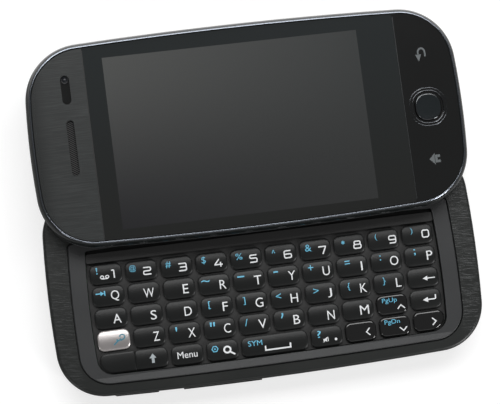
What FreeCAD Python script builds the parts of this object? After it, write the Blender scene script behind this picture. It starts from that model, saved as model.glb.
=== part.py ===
import FreeCAD, Part

import math
import os

# Side-slider phone, lying on its back with the display half open.
# Frame: +Z up, +X along the long side, +Y the way the display half slides open.
# Origin: centre of the keyboard half, on the flat back that rests on the surface.
# All sizes are in millimetres.

V = FreeCAD.Vector
Z_AXIS = V(0, 0, 1)

# --- Overall sizes -------------------------------------------------------------------------
BODY_LENGTH = 109.0
LOWER_DEPTH = 53.6
LOWER_HEIGHT = 8.8
UPPER_DEPTH = 52.2
UPPER_HEIGHT = 6.9
HALF_GAP = 0.2  # between the two halves
SLIDE_TRAVEL = 35.78

END_BOW = 1.2  # how far the short ends of the keyboard half bulge
SIDE_BOW = 1.3  # how far its long sides bulge
UPPER_END_BOW = 1.6
UPPER_SIDE_BOW = 1.4
LOWER_CORNER = 12.0
UPPER_CORNER = 14.2

# --- Lower shells --------------------------------------------------------------------------
CASE_WALL = 1.2
CASE_FLOOR = 1.0
CASE_BOTTOM_ROUND = 2.6
DECK_TOP_ROUND = 0.9
DECK_HEIGHT = 2.2  # from the parting line to the top
DECK_PLATE = 1.6
PART_CLEARANCE = 0.15  # between pieces that lie beside each other
FACE_CLEARANCE = 0.05  # between faces stacked on each other
MIN_CORNER = 0.1  # the least radius that an outline's corner keeps

# --- Keyboard ------------------------------------------------------------------------------
KEY_COLUMNS = 10
KEY_ROWS = 5
KEY_GAP_X = 0.82  # between neighbouring caps
KEY_GAP_Y = 0.5
KEY_CORNER = 1.6
KEY_RIM = 0.4  # height of the straight side of a key cap
KEY_CROWN = 0.3  # height of the bevelled crown
KEY_BEVEL = 0.55  # how far the crown's edge runs in
KEY_TRAVEL = 0.3
KEY_RECESS = 0.2  # key tops below the deck's top
KEY_STEM_WIDTH = 3.0
KEY_STEM_DEPTH = 2.0
KEY_STEM_CLEARANCE = 0.15
KEY_PRESS_CLEARANCE = 0.1  # left under a pressed cap
ROW_BOW = 0.55  # how far the outermost keys sit above the middle ones
OUTER_KEY_CORNER = 3.4

DECK_END = 5.75  # from the frame to the ends of the case
DECK_SIDE = 3.25  # from the frame to the near side of the case
FRAME_MARGIN_X = 1.06  # from the keys to the frame, at the sides
FRAME_MARGIN_Y = 0.4  # from the keys to the frame, below
FRAME_BAND_X = 4.0  # width of the grey frame at the sides
FRAME_BAND_Y = 2.1  # width of the grey frame below and above
FRAME_HEIGHT = 0.9
FRAME_GAP = 0.3
FRAME_INNER_CORNER = 4.0
FRAME_CORNER_GAIN = 3.4  # how much rounder the frame's outer corners are
FRAME_HIGH_CORNER = 0.9  # outer corners under the display half
FRAME_INNER_HIGH_CORNER = 0.6
FRAME_ROUND = 0.25
FRAME_END_BOW = 0.6
FRAME_SIDE_BOW = 0.7

MAT_THICKNESS = 0.6
MAT_FOOT_WIDTH = 1.0
MAT_JOIN = 0.2  # how far the bar reaches into the mat
RIDGE_DEPTH = 2.3  # bar on the mat above the number row
RIDGE_HEIGHT = 1.0
RIDGE_END_GAP = 0.35  # from the bar to the frame
RIDGE_GAP = 1.0  # from the number row to the bar
SLOT_BEHIND_RIDGE = 1.575

# --- Main board ----------------------------------------------------------------------------
BOARD_TOP = 6.3
BOARD_THICKNESS = 0.8
BOARD_INSET = 2.0
DOME_RADIUS = 1.6
DOME_HEIGHT = 0.3
DOME_CLEARANCE = 0.05  # left between a pressed stem and its dome
SHIELD_HEIGHT = 1.8
SHIELD_FROM_BAY = 1.0
SHIELD_CANS = [(12.0, 6.0, 20.0), (9.0, -6.0, 4.0)]  # length, low and high y

# --- Battery and its cover -----------------------------------------------------------------
BATTERY_FROM_LEFT = 37.5  # from the left end of the case
BATTERY_FROM_RIGHT = 19.5
BATTERY_DEPTH = 35.0
BATTERY_HEIGHT = 3.9
BATTERY_CORNER = 1.5
CONTACT_PITCH = 3.0
CONTACT_WIDTH = 1.8
CONTACT_LOW = 1.0
CONTACT_HEIGHT = 2.0
CONTACT_PROUD = 0.1
BAY_CLEARANCE = 0.25
BAY_WALL = 0.9
COVER_THICKNESS = 1.2
COVER_HALF_WIDTH = 19.0
COVER_FROM_LEFT = 34.5
COVER_CLEARANCE = 0.15
TONGUE_HEIGHT = 0.45
TONGUE_WIDTH = 0.95
CHANNEL_ROOF = 0.7
RAIL_WIDTH = 1.6
RAIL_END = 1.5
GRIP_RIBS = 5
GRIP_PITCH = 1.6
GRIP_DEPTH = 0.25
GRIP_GROOVE = 0.7
GRIP_FROM_RIGHT = 20.5
GRIP_RADIUS = 30.0
GRIP_HALF_WIDTH = 8.0

# --- Screws --------------------------------------------------------------------------------
SCREW_HEAD_RADIUS = 1.4
SCREW_HEAD_HEIGHT = 0.85
SCREW_SHANK_RADIUS = 0.7
SCREW_LENGTH = 4.4
SCREW_SOCKET_RADIUS = 0.6
SCREW_FIT = 0.1
SCREW_THREAD_FIT = 0.02
SCREW_TIP_ROOM = 0.3
SCREW_SOCKET_SHARE = 0.6
LEFT_SCREW_FROM_END = 6.0
LEFT_SCREW_FROM_SIDE = 8.3
LEFT_SCREW_SET_BACK = 0.4
RIGHT_SCREW_FROM_END = 7.3
RIGHT_SCREW_FROM_SIDE = 12.8
BOSS_RADIUS = 2.3
BOSS_TOP = 3.5
DECK_BOSS_RADIUS = 1.9

# --- Side keys, door and sockets -----------------------------------------------------------
SIDE_KEY_Z = 3.95
SIDE_KEY_HEIGHT = 2.2
SIDE_KEY_PROUD = 0.45
SIDE_KEY_FLANGE = 0.6
SIDE_KEY_FLANGE_LIP = 0.7
SIDE_KEY_FLANGE_RISE = 0.3
SIDE_KEY_TRAVEL = 0.3
SIDE_KEY_CLEARANCE = 0.15
SIDE_SWITCH_WIDTH = 3.0
SIDE_SWITCH_DEPTH = 1.5

ROCKER_FROM_LEFT = 40.65
ROCKER_LENGTH = 19.7
ROCKER_FLANGE_GAP = 0.35
ROCKER_PIVOT_RADIUS = 0.7
ROCKER_SWITCH_OFFSET = 7.0
CRADLE_WALL = 0.6
CRADLE_SET_BACK = 0.45
CRADLE_DEPTH = 1.2

CAMERA_KEY_FROM_RIGHT = 20.5
CAMERA_KEY_LENGTH = 9.0
POWER_KEY_FROM_LEFT = 21.5
POWER_KEY_LENGTH = 8.0

DOOR_FROM_LEFT = 18.9
DOOR_LENGTH = 11.0
DOOR_HEIGHT = 3.8
DOOR_Z = 4.2
DOOR_THICKNESS = 1.3
DOOR_PROUD = 0.35
DOOR_CLEARANCE = 0.12
DOOR_PIN_RADIUS = 0.3
DOOR_PIN_CLEARANCE = 0.08
DOOR_PIN_HOLD = 0.1
DOOR_PAD_DEPTH = 0.8  # thicker wall behind the door
DOOR_PAD_END = 1.2

USB_WIDTH = 7.5
USB_DEPTH = 5.0
USB_HEIGHT = 2.6
USB_WALL = 0.35
USB_FROM_DOOR = 0.3
USB_TONGUE_SET_BACK = 1.0
USB_TONGUE = 0.45

JACK_FROM_SIDE = 14.8  # from the +Y side of the lower half
JACK_Z = 3.4
JACK_BORE_RADIUS = 1.775
JACK_BORE_LENGTH = 12.0
JACK_BODY_WIDTH = 6.0
JACK_BODY_HEIGHT = 4.1
JACK_COLLAR_RADIUS = 2.3
JACK_BACK_WALL = 1.0
JACK_COLLAR_OVERLAP = 0.3
JACK_COLLAR_FIT = 0.02

CAMERA_FROM_LEFT = 16.5
CAMERA_Y = 0.0
CAMERA_WIDTH = 8.4
CAMERA_LENS_RADIUS = 2.7
CAMERA_WINDOW_RADIUS = 4.6
CAMERA_WINDOW_THICKNESS = 0.7
CAMERA_PAD = 1.9
CAMERA_PAD_RIM = 1.0
CAMERA_BARREL_JOIN = 0.2
LENS_MOUTH_RADIUS = 1.6
LENS_FLOOR_RADIUS = 0.9
LENS_MOUTH_DEPTH = 0.8
WINDOW_SET_BACK = 0.15

SPEAKER_FROM_LEFT = 17.5
SPEAKER_FROM_PORT = 1.85
SPEAKER_LENGTH = 15.0
SPEAKER_DEPTH = 10.0
SPEAKER_HEIGHT = 3.4
SPEAKER_CORNER = 1.5
SPEAKER_PAD_INSET = 1.5
SPEAKER_PAD_CORNER = 1.0
GRILLE_SLOTS = 5
GRILLE_PITCH = 2.2
GRILLE_WIDTH = 0.9
GRILLE_LENGTH = 7.0

MOTOR_FROM_RIGHT = 13.5
MOTOR_RADIUS = 1.6
MOTOR_LENGTH = 7.0
WEIGHT_LENGTH = 3.0
WEIGHT_RADIUS = 1.5
WEIGHT_GAP = 0.5
WEIGHT_BELOW_SHAFT = 0.3
SHAFT_RADIUS = 0.4
SHAFT_END = 0.3

# --- Slide ---------------------------------------------------------------------------------
SLIDE_PLATE = 0.45
SLIDE_BASE_DEPTH = 10.5
SLIDE_BASE_HALF_WIDTH = 25.7
SLIDE_WING_HALF_WIDTH = 28.0
SLIDE_RISER = 0.8
SLIDE_WING = 0.5
SLIDE_WING_Z = 0.55  # underside of the wings above the deck
SLIDE_FIT = 0.1
SLIDE_SIDE_FIT = 0.2
CARRIAGE_PLATE = 0.5
CARRIAGE_LIP = 0.2
CARRIAGE_WEB = 0.8
CARRIAGE_LIP_INNER = 26.0
CARRIAGE_STOP = 0.5
CARRIAGE_STOP_GAP = 0.3
STUD_RADIUS = 0.9
STUD_X = 20.0
STUD_Y = 3.2
STUD_FIT = 0.05
STUD_FROM_FRAME = 0.765

SPRING_WIRE = 0.4
SPRING_LEG = 15.0
SPRING_COIL_RADIUS = 2.4
SPRING_BASE_X = 20.0
SPRING_CARRIAGE_X = 6.0
SPRING_POST_RADIUS = 0.45
SPRING_POST_GAP = 0.1

FLEX_WIDTH = 7.0
FLEX_THICKNESS = 0.16
FLEX_SLOT_WIDTH = 8.0
FLEX_SLOT_DEPTH = 1.0
FLEX_END_Z = 7.4

# --- Upper shells --------------------------------------------------------------------------
BACK_HEIGHT = 4.2  # display_back, from its underside to the bezel's seat
BACK_WALL = 1.2
BACK_PLATE = 1.2
BACK_BOTTOM_ROUND = 1.8
BACK_TOP_CHAMFER = 0.35
POCKET_WALL = 1.0
BEZEL_STEP = 0.45  # how far the ring stands in from the shell below it
BEZEL_WIDTH = 2.1  # from the shell's outer edge to the front panels
BEZEL_ROUND = 0.75
BEZEL_LIP = 1.0
BEZEL_LIP_DROP = 0.8
LEDGE_WIDTH = 0.65
PANEL_THICKNESS = 0.95
PANEL_RECESS = 0.2
PANEL_GAP = 0.08

# --- Display front -------------------------------------------------------------------------
LEFT_PANEL = 15.5  # from the left end to the left seam
RIGHT_PANEL = 15.3
SEAM_GAP = 0.1
DISPLAY_FROM_LEFT_SEAM = 4.72
DISPLAY_FROM_RIGHT_SEAM = 9.58
DISPLAY_Y_OFFSET = -0.4  # display centre from the upper half's centre
LCD_BORDER_X = 2.0
LCD_BORDER_Y = 0.8
LCD_FIT_Y = 0.19
LCD_THICKNESS = 2.2
DRIVER_BOARD_THICKNESS = 0.8
DRIVER_BOARD_INSET = 3.6

EAR_SLOT_FROM_LEFT = 10.6
EAR_SLOT_WIDTH = 1.9
EAR_SLOT_LENGTH = 13.7
SENSOR_SLOT_FROM_LEFT = 10.55
SENSOR_SLOT_Y = 14.4  # from the display's centre line
SENSOR_SLOT_WIDTH = 2.2
SENSOR_SLOT_LENGTH = 7.2
EARPIECE_WIDTH = 6.0
EARPIECE_LENGTH = 15.0
EARPIECE_CORNER = 1.2

OK_FROM_RIGHT = 8.9
OK_Y = 0.15  # from the display's centre line
OK_WIDTH = 6.65
OK_DEPTH = 7.75
OK_CORNER = 2.9
OK_RIM = 0.55
OK_BEVEL = 0.9
OK_TRAVEL = 0.3
OK_CLEARANCE = 0.12
OK_FLANGE_LIP = 0.9
OK_FLANGE_THICKNESS = 0.4
OK_SWITCH_RADIUS = 1.6
RING_WIDTH = 0.7
RING_FLANGE_LIP = 0.5
RING_FLANGE_THICKNESS = 0.3
RING_PROUD = 0.1
RING_ROUND = 0.2

# --- Heights and places that follow from the sizes above -------------------------------------
DECK_BASE = LOWER_HEIGHT - DECK_HEIGHT
DECK_PLATE_BASE = LOWER_HEIGHT - DECK_PLATE
UPPER_BASE = LOWER_HEIGHT + HALF_GAP
TOTAL_HEIGHT = UPPER_BASE + UPPER_HEIGHT
BEZEL_SEAT = UPPER_BASE + BACK_HEIGHT
LEFT_END = -BODY_LENGTH / 2
RIGHT_END = BODY_LENGTH / 2
UPPER_Y = SLIDE_TRAVEL
DISPLAY_Y = UPPER_Y + DISPLAY_Y_OFFSET
SLIDE_BASE_Y = SLIDE_TRAVEL / 2

KEY_TOP = LOWER_HEIGHT - KEY_RECESS
KEY_BASE = KEY_TOP - KEY_CROWN - KEY_RIM
MAT_TOP = KEY_BASE - KEY_TRAVEL - KEY_PRESS_CLEARANCE
MAT_BASE = MAT_TOP - MAT_THICKNESS
DOME_TOP = BOARD_TOP + DOME_HEIGHT
STEM_BASE = DOME_TOP + KEY_TRAVEL + DOME_CLEARANCE
BOARD_BASE = BOARD_TOP - BOARD_THICKNESS

FRAME_OUTER_X = RIGHT_END - DECK_END
FRAME_OUTER_LOW = DECK_SIDE - LOWER_DEPTH / 2
FRAME_OUTER_HIGH = SLIDE_BASE_Y - STUD_Y - STUD_RADIUS - STUD_FROM_FRAME
FRAME_OUTER_CORNER = FRAME_INNER_CORNER + FRAME_CORNER_GAIN
FRAME_INNER_X = FRAME_OUTER_X - FRAME_BAND_X
FRAME_INNER_LOW = FRAME_OUTER_LOW + FRAME_BAND_Y
FRAME_INNER_HIGH = FRAME_OUTER_HIGH - FRAME_BAND_Y
RIDGE_LOW_Y = FRAME_INNER_HIGH - SLOT_BEHIND_RIDGE - RIDGE_DEPTH
KEYS_HALF_X = FRAME_INNER_X - FRAME_MARGIN_X
KEYS_LOW_Y = FRAME_INNER_LOW + FRAME_MARGIN_Y
KEYS_HIGH_Y = RIDGE_LOW_Y - RIDGE_GAP
KEY_PITCH_X = (2 * KEYS_HALF_X + KEY_GAP_X) / KEY_COLUMNS
KEY_PITCH_Y = (KEYS_HIGH_Y - KEYS_LOW_Y + KEY_GAP_Y) / KEY_ROWS
KEY_WIDTH = KEY_PITCH_X - KEY_GAP_X
KEY_DEPTH = KEY_PITCH_Y - KEY_GAP_Y
FIRST_ROW_Y = KEYS_HIGH_Y - KEY_DEPTH / 2

BATTERY_LENGTH = BODY_LENGTH - BATTERY_FROM_LEFT - BATTERY_FROM_RIGHT
BATTERY_X = LEFT_END + BATTERY_FROM_LEFT + BATTERY_LENGTH / 2
BATTERY_BASE = COVER_THICKNESS + BAY_CLEARANCE
COVER_START_X = LEFT_END + COVER_FROM_LEFT
GRIP_X = RIGHT_END - GRIP_FROM_RIGHT
CHANNEL_TOP = COVER_THICKNESS + COVER_CLEARANCE
LEFT_SCREW_X = LEFT_END + LEFT_SCREW_FROM_END
LEFT_SCREW_Y = LOWER_DEPTH / 2 - LEFT_SCREW_FROM_SIDE
JACK_Y = LOWER_DEPTH / 2 - JACK_FROM_SIDE
RIGHT_SCREW_X = RIGHT_END - RIGHT_SCREW_FROM_END
RIGHT_SCREW_Y = LOWER_DEPTH / 2 - RIGHT_SCREW_FROM_SIDE
SCREW_PLACES = [
    (LEFT_SCREW_X, -LEFT_SCREW_Y),
    (LEFT_SCREW_X, LEFT_SCREW_Y),
    (RIGHT_SCREW_X, -RIGHT_SCREW_Y),
    (RIGHT_SCREW_X, RIGHT_SCREW_Y),
]

ROCKER_X = LEFT_END + ROCKER_FROM_LEFT
CAMERA_KEY_X = RIGHT_END - CAMERA_KEY_FROM_RIGHT
POWER_KEY_X = LEFT_END + POWER_KEY_FROM_LEFT
DOOR_X = LEFT_END + DOOR_FROM_LEFT
CAMERA_X = LEFT_END + CAMERA_FROM_LEFT
SPEAKER_X = LEFT_END + SPEAKER_FROM_LEFT
MOTOR_X = RIGHT_END - MOTOR_FROM_RIGHT

WING_BASE = LOWER_HEIGHT + SLIDE_WING_Z
WING_TOP = WING_BASE + SLIDE_WING
CARRIAGE_BASE = WING_TOP + SLIDE_FIT + FACE_CLEARANCE
CARRIAGE_TOP = CARRIAGE_BASE + CARRIAGE_PLATE
CARRIAGE_HALF_WIDTH = SLIDE_WING_HALF_WIDTH + SLIDE_SIDE_FIT + CARRIAGE_WEB
CARRIAGE_HALF_DEPTH = SLIDE_TRAVEL / 2 + SLIDE_BASE_DEPTH / 2 + CARRIAGE_STOP_GAP + CARRIAGE_STOP

PANEL_TOP = TOTAL_HEIGHT - PANEL_RECESS
PANEL_BASE = PANEL_TOP - PANEL_THICKNESS
LCD_TOP = PANEL_BASE - 2 * FACE_CLEARANCE
LCD_BASE = LCD_TOP - LCD_THICKNESS
DRIVER_BOARD_BASE = LCD_BASE - DRIVER_BOARD_THICKNESS

LEFT_SEAM_X = LEFT_END + LEFT_PANEL
RIGHT_SEAM_X = RIGHT_END - RIGHT_PANEL
DISPLAY_LEFT = LEFT_SEAM_X + DISPLAY_FROM_LEFT_SEAM
DISPLAY_RIGHT = RIGHT_SEAM_X - DISPLAY_FROM_RIGHT_SEAM
EAR_SLOT_X = LEFT_END + EAR_SLOT_FROM_LEFT
SENSOR_SLOT_X = LEFT_END + SENSOR_SLOT_FROM_LEFT
OK_X = RIGHT_END - OK_FROM_RIGHT


# --- Shape helpers -------------------------------------------------------------------------
def box(x0, x1, y0, y1, z0, z1):
    """A block between two corners."""
    return Part.makeBox(x1 - x0, y1 - y0, z1 - z0, V(x0, y0, z0))


def cylinder(x, y, z0, z1, radius):
    """An upright round bar."""
    return Part.makeCylinder(radius, z1 - z0, V(x, y, z0), Z_AXIS)


def raised(face, z0, z1):
    """A flat face at height zero, raised between two heights."""
    solid = face.extrude(V(0, 0, z1 - z0))
    solid.translate(V(0, 0, z0))
    return solid


def joined(first, *others):
    """Solids fused into one, with the seams between flush faces removed."""
    return first.fuse(list(others)).removeSplitter()


def edges_at(solid, height):
    """Edges that lie flat at one height."""
    return [
        edge
        for edge in solid.Edges
        if abs(edge.BoundBox.ZMin - height) < 1e-4 and abs(edge.BoundBox.ZMax - height) < 1e-4
    ]


def upright_edges(solid):
    """Straight edges that stand upright."""
    return [
        edge
        for edge in solid.Edges
        if abs(edge.BoundBox.XLength) < 1e-4
        and abs(edge.BoundBox.YLength) < 1e-4
        and edge.BoundBox.ZLength > 1e-3
    ]


def bowed_disks(chords):
    """Circles through the ends of a chord and a bow beyond it: centre and radius of each."""
    disks = []
    for half_chord, bow, foot, direction in chords:
        radius = (half_chord**2 + bow**2) / (2 * bow)
        centre = foot + direction * (bow - radius)
        disks.append((centre, radius))
    return disks


class Outline:
    """A rectangle whose four sides bulge outwards as arcs and whose corners are round."""

    def __init__(self, half_x, y_low, y_high, end_bow, side_bow, corner, high_corner=None):
        y_mid = (y_low + y_high) / 2
        half_y = (y_high - y_low) / 2
        self.corner = corner
        self.high_corner = corner if high_corner is None else high_corner
        self.y_mid = y_mid
        self.disks = bowed_disks(
            [
                (half_y - side_bow, end_bow, V(half_x - end_bow, y_mid, 0), V(1, 0, 0)),
                (half_y - side_bow, end_bow, V(end_bow - half_x, y_mid, 0), V(-1, 0, 0)),
                (half_x - end_bow, side_bow, V(0, y_high - side_bow, 0), V(0, 1, 0)),
                (half_x - end_bow, side_bow, V(0, y_low + side_bow, 0), V(0, -1, 0)),
            ]
        )

    def prism(self, inset, z0, z1):
        """The outline, drawn in by a distance on every side, raised between two heights."""
        bars = []
        for centre, radius in self.disks:
            base = V(centre.x, centre.y, z0)
            bars.append(Part.makeCylinder(radius - inset, z1 - z0, base, Z_AXIS))
        solid = bars[0].common(bars[1]).common(bars[2]).common(bars[3])
        for sign, corner in ((-1, self.corner), (1, self.high_corner)):
            radius = max(corner - inset, MIN_CORNER)
            edges = [
                edge
                for edge in upright_edges(solid)
                if sign * (edge.CenterOfMass.y - self.y_mid) > 0
            ]
            solid = solid.makeFillet(radius, edges)
        return solid


def round_rect(cx, cy, width, depth, radii, z=0.0):
    """A closed outline with a radius for each corner: low left, low right, high right, high left."""
    x0, x1 = cx - width / 2, cx + width / 2
    y0, y1 = cy - depth / 2, cy + depth / 2
    signs = [(-1, -1), (1, -1), (1, 1), (-1, 1)]
    starts = []
    ends = []
    arcs = []
    for index, (sx, sy) in enumerate(signs):
        radius = radii[index]
        x = x0 if sx < 0 else x1
        y = y0 if sy < 0 else y1
        centre = V(x - sx * radius, y - sy * radius, z)
        on_x = V(x, y - sy * radius, z)
        on_y = V(x - sx * radius, y, z)
        middle = centre + V(sx, sy, 0) * (radius / math.sqrt(2))
        first, last = (on_x, on_y) if index % 2 == 0 else (on_y, on_x)
        starts.append(first)
        ends.append(last)
        arcs.append(Part.Arc(first, middle, last).toShape())
    edges = []
    for index in range(4):
        edges.append(arcs[index])
        edges.append(Part.LineSegment(ends[index], starts[(index + 1) % 4]).toShape())
    return Part.Wire(edges)


def round_bar(cx, cy, width, depth, radius, z0, z1):
    """A block with four equal round upright corners."""
    return raised(Part.Face(round_rect(cx, cy, width, depth, [radius] * 4)), z0, z1)


def round_slot(cx, cy, width, depth, z0, z1):
    """A bar with round ends."""
    return round_bar(cx, cy, width, depth, min(width, depth) * 0.49, z0, z1)


def crowned_cap(cx, cy, width, depth, radii, z0, rim, crown, bevel):
    """A button cap: a straight rim under a bevelled crown."""
    low = round_rect(cx, cy, width, depth, radii, z0 + rim)
    small = [max(radius - bevel, 0.4 * radius) for radius in radii]
    high = round_rect(cx, cy, width - 2 * bevel, depth - 2 * bevel, small, z0 + rim + crown)
    base = round_rect(cx, cy, width, depth, radii)
    return joined(raised(Part.Face(base), z0, z0 + rim), Part.makeLoft([low, high], True, True))


def circle_sag(radius_chord, bow, distance):
    """How far an arc with this half chord and bow falls away at a distance from its middle."""
    radius = (radius_chord**2 + bow**2) / (2 * bow)
    return radius - math.sqrt(radius**2 - distance**2)


def save(name, *solids):
    """Write one node's solids to its STEP file."""
    shape = solids[0] if len(solids) == 1 else Part.makeCompound(list(solids))
    for solid in shape.Solids:
        if not solid.isValid():
            print("invalid solid in", name)
    print(f"{name}: {len(shape.Solids)} solids, {shape.Volume:.1f} mm3")
    shape.exportStep(f"parts/{name}.step")


# --- Display size, from the room between the bezel's ledges ----------------------------------
LCD_REACH_X = max(-DISPLAY_LEFT, DISPLAY_RIGHT) + LCD_BORDER_X
LCD_SAG = circle_sag(BODY_LENGTH / 2 - UPPER_END_BOW, UPPER_SIDE_BOW, LCD_REACH_X)
LEDGE_Y = UPPER_DEPTH / 2 - LCD_SAG - BEZEL_WIDTH - LEDGE_WIDTH - abs(DISPLAY_Y_OFFSET)
DISPLAY_DEPTH = 2 * (LEDGE_Y - LCD_FIT_Y - LCD_BORDER_Y)

# --- Outlines ------------------------------------------------------------------------------
LOWER = Outline(
    BODY_LENGTH / 2, -LOWER_DEPTH / 2, LOWER_DEPTH / 2, END_BOW, SIDE_BOW, LOWER_CORNER
)
UPPER = Outline(
    BODY_LENGTH / 2,
    UPPER_Y - UPPER_DEPTH / 2,
    UPPER_Y + UPPER_DEPTH / 2,
    UPPER_END_BOW,
    UPPER_SIDE_BOW,
    UPPER_CORNER,
)
FRAME_INNER = Outline(
    FRAME_INNER_X,
    FRAME_INNER_LOW,
    FRAME_INNER_HIGH,
    FRAME_END_BOW,
    FRAME_SIDE_BOW,
    FRAME_INNER_CORNER,
    FRAME_INNER_HIGH_CORNER,
)
FRAME_OUTER = Outline(
    FRAME_OUTER_X,
    FRAME_OUTER_LOW,
    FRAME_OUTER_HIGH,
    FRAME_END_BOW,
    FRAME_SIDE_BOW,
    FRAME_OUTER_CORNER,
    FRAME_HIGH_CORNER,
)


def lower_envelope():
    """The outer form of the keyboard half, rounded along its top and bottom edges."""
    solid = LOWER.prism(0, 0, LOWER_HEIGHT)
    solid = solid.makeFillet(CASE_BOTTOM_ROUND, edges_at(solid, 0))
    return solid.makeFillet(DECK_TOP_ROUND, edges_at(solid, LOWER_HEIGHT))


def side_y(x, side):
    """Where the outline of the keyboard half runs at x, on the low (-1) or high (+1) side."""
    half_chord = BODY_LENGTH / 2 - END_BOW
    return side * (LOWER_DEPTH / 2 - circle_sag(half_chord, SIDE_BOW, x))


def side_band(outer, inner, x0, x1, z0, z1, side):
    """A slice of the ring that follows the outline, from outside it to inside it."""
    ring = LOWER.prism(-outer, z0, z1).cut(LOWER.prism(inner, z0, z1))
    y0, y1 = (-LOWER_DEPTH, 0) if side < 0 else (0, LOWER_DEPTH)
    return ring.common(box(x0, x1, y0, y1, z0, z1))


# --- Side keys -----------------------------------------------------------------------------
SIDE_KEY_LOW = SIDE_KEY_Z - SIDE_KEY_HEIGHT / 2
SIDE_KEY_HIGH = SIDE_KEY_Z + SIDE_KEY_HEIGHT / 2


def side_key(x, length, side, flange_gap):
    """A key in the side wall, with a flange behind the wall that keeps it in."""
    half = length / 2
    flange_outer = CASE_WALL + flange_gap
    flange_inner = flange_outer + SIDE_KEY_FLANGE
    button = side_band(
        SIDE_KEY_PROUD, flange_inner, x - half, x + half, SIDE_KEY_LOW, SIDE_KEY_HIGH, side
    )
    wide = half + SIDE_KEY_FLANGE_LIP
    flange = side_band(
        -flange_outer,
        flange_inner,
        x - wide,
        x + wide,
        SIDE_KEY_LOW - SIDE_KEY_FLANGE_RISE,
        SIDE_KEY_HIGH + SIDE_KEY_FLANGE_RISE,
        side,
    )
    return joined(button, flange)


def side_key_slot(x, length, side):
    """The opening in the side wall that a side key runs through."""
    half = length / 2 + SIDE_KEY_CLEARANCE
    return side_band(
        1.0,
        CASE_WALL + 0.5,
        x - half,
        x + half,
        SIDE_KEY_LOW - SIDE_KEY_CLEARANCE,
        SIDE_KEY_HIGH + SIDE_KEY_CLEARANCE,
        side,
    )


def side_switch(x, side, flange_gap):
    """A switch under the board's edge, just behind a side key's flange."""
    behind = CASE_WALL + flange_gap + SIDE_KEY_FLANGE + SIDE_KEY_TRAVEL + FACE_CLEARANCE
    y_near = side_y(x, side) - side * (behind + FACE_CLEARANCE)
    y_far = y_near - side * SIDE_SWITCH_DEPTH
    half = SIDE_SWITCH_WIDTH / 2
    return box(x - half, x + half, min(y_near, y_far), max(y_near, y_far), SIDE_KEY_LOW, BOARD_BASE)


ROCKER_PIVOT_Y = side_y(ROCKER_X, -1) + CASE_WALL + ROCKER_FLANGE_GAP + SIDE_KEY_FLANGE


def volume_rocker():
    """The volume key: it rocks about an upright round rib behind its middle."""
    rocker = side_key(ROCKER_X, ROCKER_LENGTH, -1, ROCKER_FLANGE_GAP)
    rib = cylinder(ROCKER_X, ROCKER_PIVOT_Y, SIDE_KEY_LOW, SIDE_KEY_HIGH, ROCKER_PIVOT_RADIUS)
    return joined(rocker, rib)


def rocker_cradle():
    """The post behind the volume key, with a round groove that its rib turns in."""
    groove_radius = ROCKER_PIVOT_RADIUS + SIDE_KEY_CLEARANCE
    half = groove_radius + CRADLE_WALL
    front = ROCKER_PIVOT_Y + CRADLE_SET_BACK
    back = front + CRADLE_DEPTH
    post = box(ROCKER_X - half, ROCKER_X + half, front, back, CASE_FLOOR / 2, SIDE_KEY_HIGH)
    return post.cut(cylinder(ROCKER_X, ROCKER_PIVOT_Y, 0, BOARD_BASE, groove_radius))


# --- Door over the charging socket -----------------------------------------------------------
DOOR_LOW = DOOR_Z - DOOR_HEIGHT / 2
DOOR_HIGH = DOOR_Z + DOOR_HEIGHT / 2
DOOR_LEFT = DOOR_X - DOOR_LENGTH / 2
DOOR_RIGHT = DOOR_X + DOOR_LENGTH / 2
DOOR_RADIUS = DOOR_THICKNESS / 2
DOOR_PIVOT_X = DOOR_LEFT + DOOR_RADIUS
DOOR_PIVOT_Y = side_y(DOOR_PIVOT_X, -1) - DOOR_PROUD + DOOR_RADIUS


def usb_door():
    """The door: a plate that follows the side, with a round knuckle at its left end."""
    depth = DOOR_THICKNESS - DOOR_PROUD
    plate = side_band(DOOR_PROUD, depth, DOOR_PIVOT_X, DOOR_RIGHT, DOOR_LOW, DOOR_HIGH, -1)
    knuckle = cylinder(DOOR_PIVOT_X, DOOR_PIVOT_Y, DOOR_LOW, DOOR_HIGH, DOOR_RADIUS)
    hole = DOOR_PIN_RADIUS + DOOR_PIN_CLEARANCE
    bore = cylinder(DOOR_PIVOT_X, DOOR_PIVOT_Y, DOOR_LOW, DOOR_HIGH, hole)
    return joined(plate, knuckle).cut(bore)


def door_recess():
    """The recess that the door closes into, round where its knuckle turns."""
    c = DOOR_CLEARANCE
    depth = DOOR_THICKNESS - DOOR_PROUD + c
    recess = side_band(1.0, depth, DOOR_PIVOT_X, DOOR_RIGHT + c, DOOR_LOW - c, DOOR_HIGH + c, -1)
    radius = DOOR_RADIUS + c
    turn = cylinder(DOOR_PIVOT_X, DOOR_PIVOT_Y, DOOR_LOW - c, DOOR_HIGH + c, radius)
    mouth = box(
        DOOR_PIVOT_X - radius,
        DOOR_PIVOT_X + radius,
        DOOR_PIVOT_Y - DOOR_THICKNESS - DOOR_PROUD,
        DOOR_PIVOT_Y,
        DOOR_LOW - c,
        DOOR_HIGH + c,
    )
    return joined(recess, turn, mouth)


def door_pin():
    """The pin that the door turns on, held above and below in the case."""
    hold = DOOR_CLEARANCE + DOOR_PIN_HOLD
    low, high = DOOR_LOW - hold, DOOR_HIGH + hold
    return cylinder(DOOR_PIVOT_X, DOOR_PIVOT_Y, low, high, DOOR_PIN_RADIUS)


USB_Z = BOARD_BASE - USB_HEIGHT / 2
USB_FRONT = side_y(DOOR_X, -1) + DOOR_THICKNESS - DOOR_PROUD + DOOR_CLEARANCE + USB_FROM_DOOR
SPEAKER_Y = USB_FRONT + USB_DEPTH + SPEAKER_FROM_PORT + SPEAKER_DEPTH / 2


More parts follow.
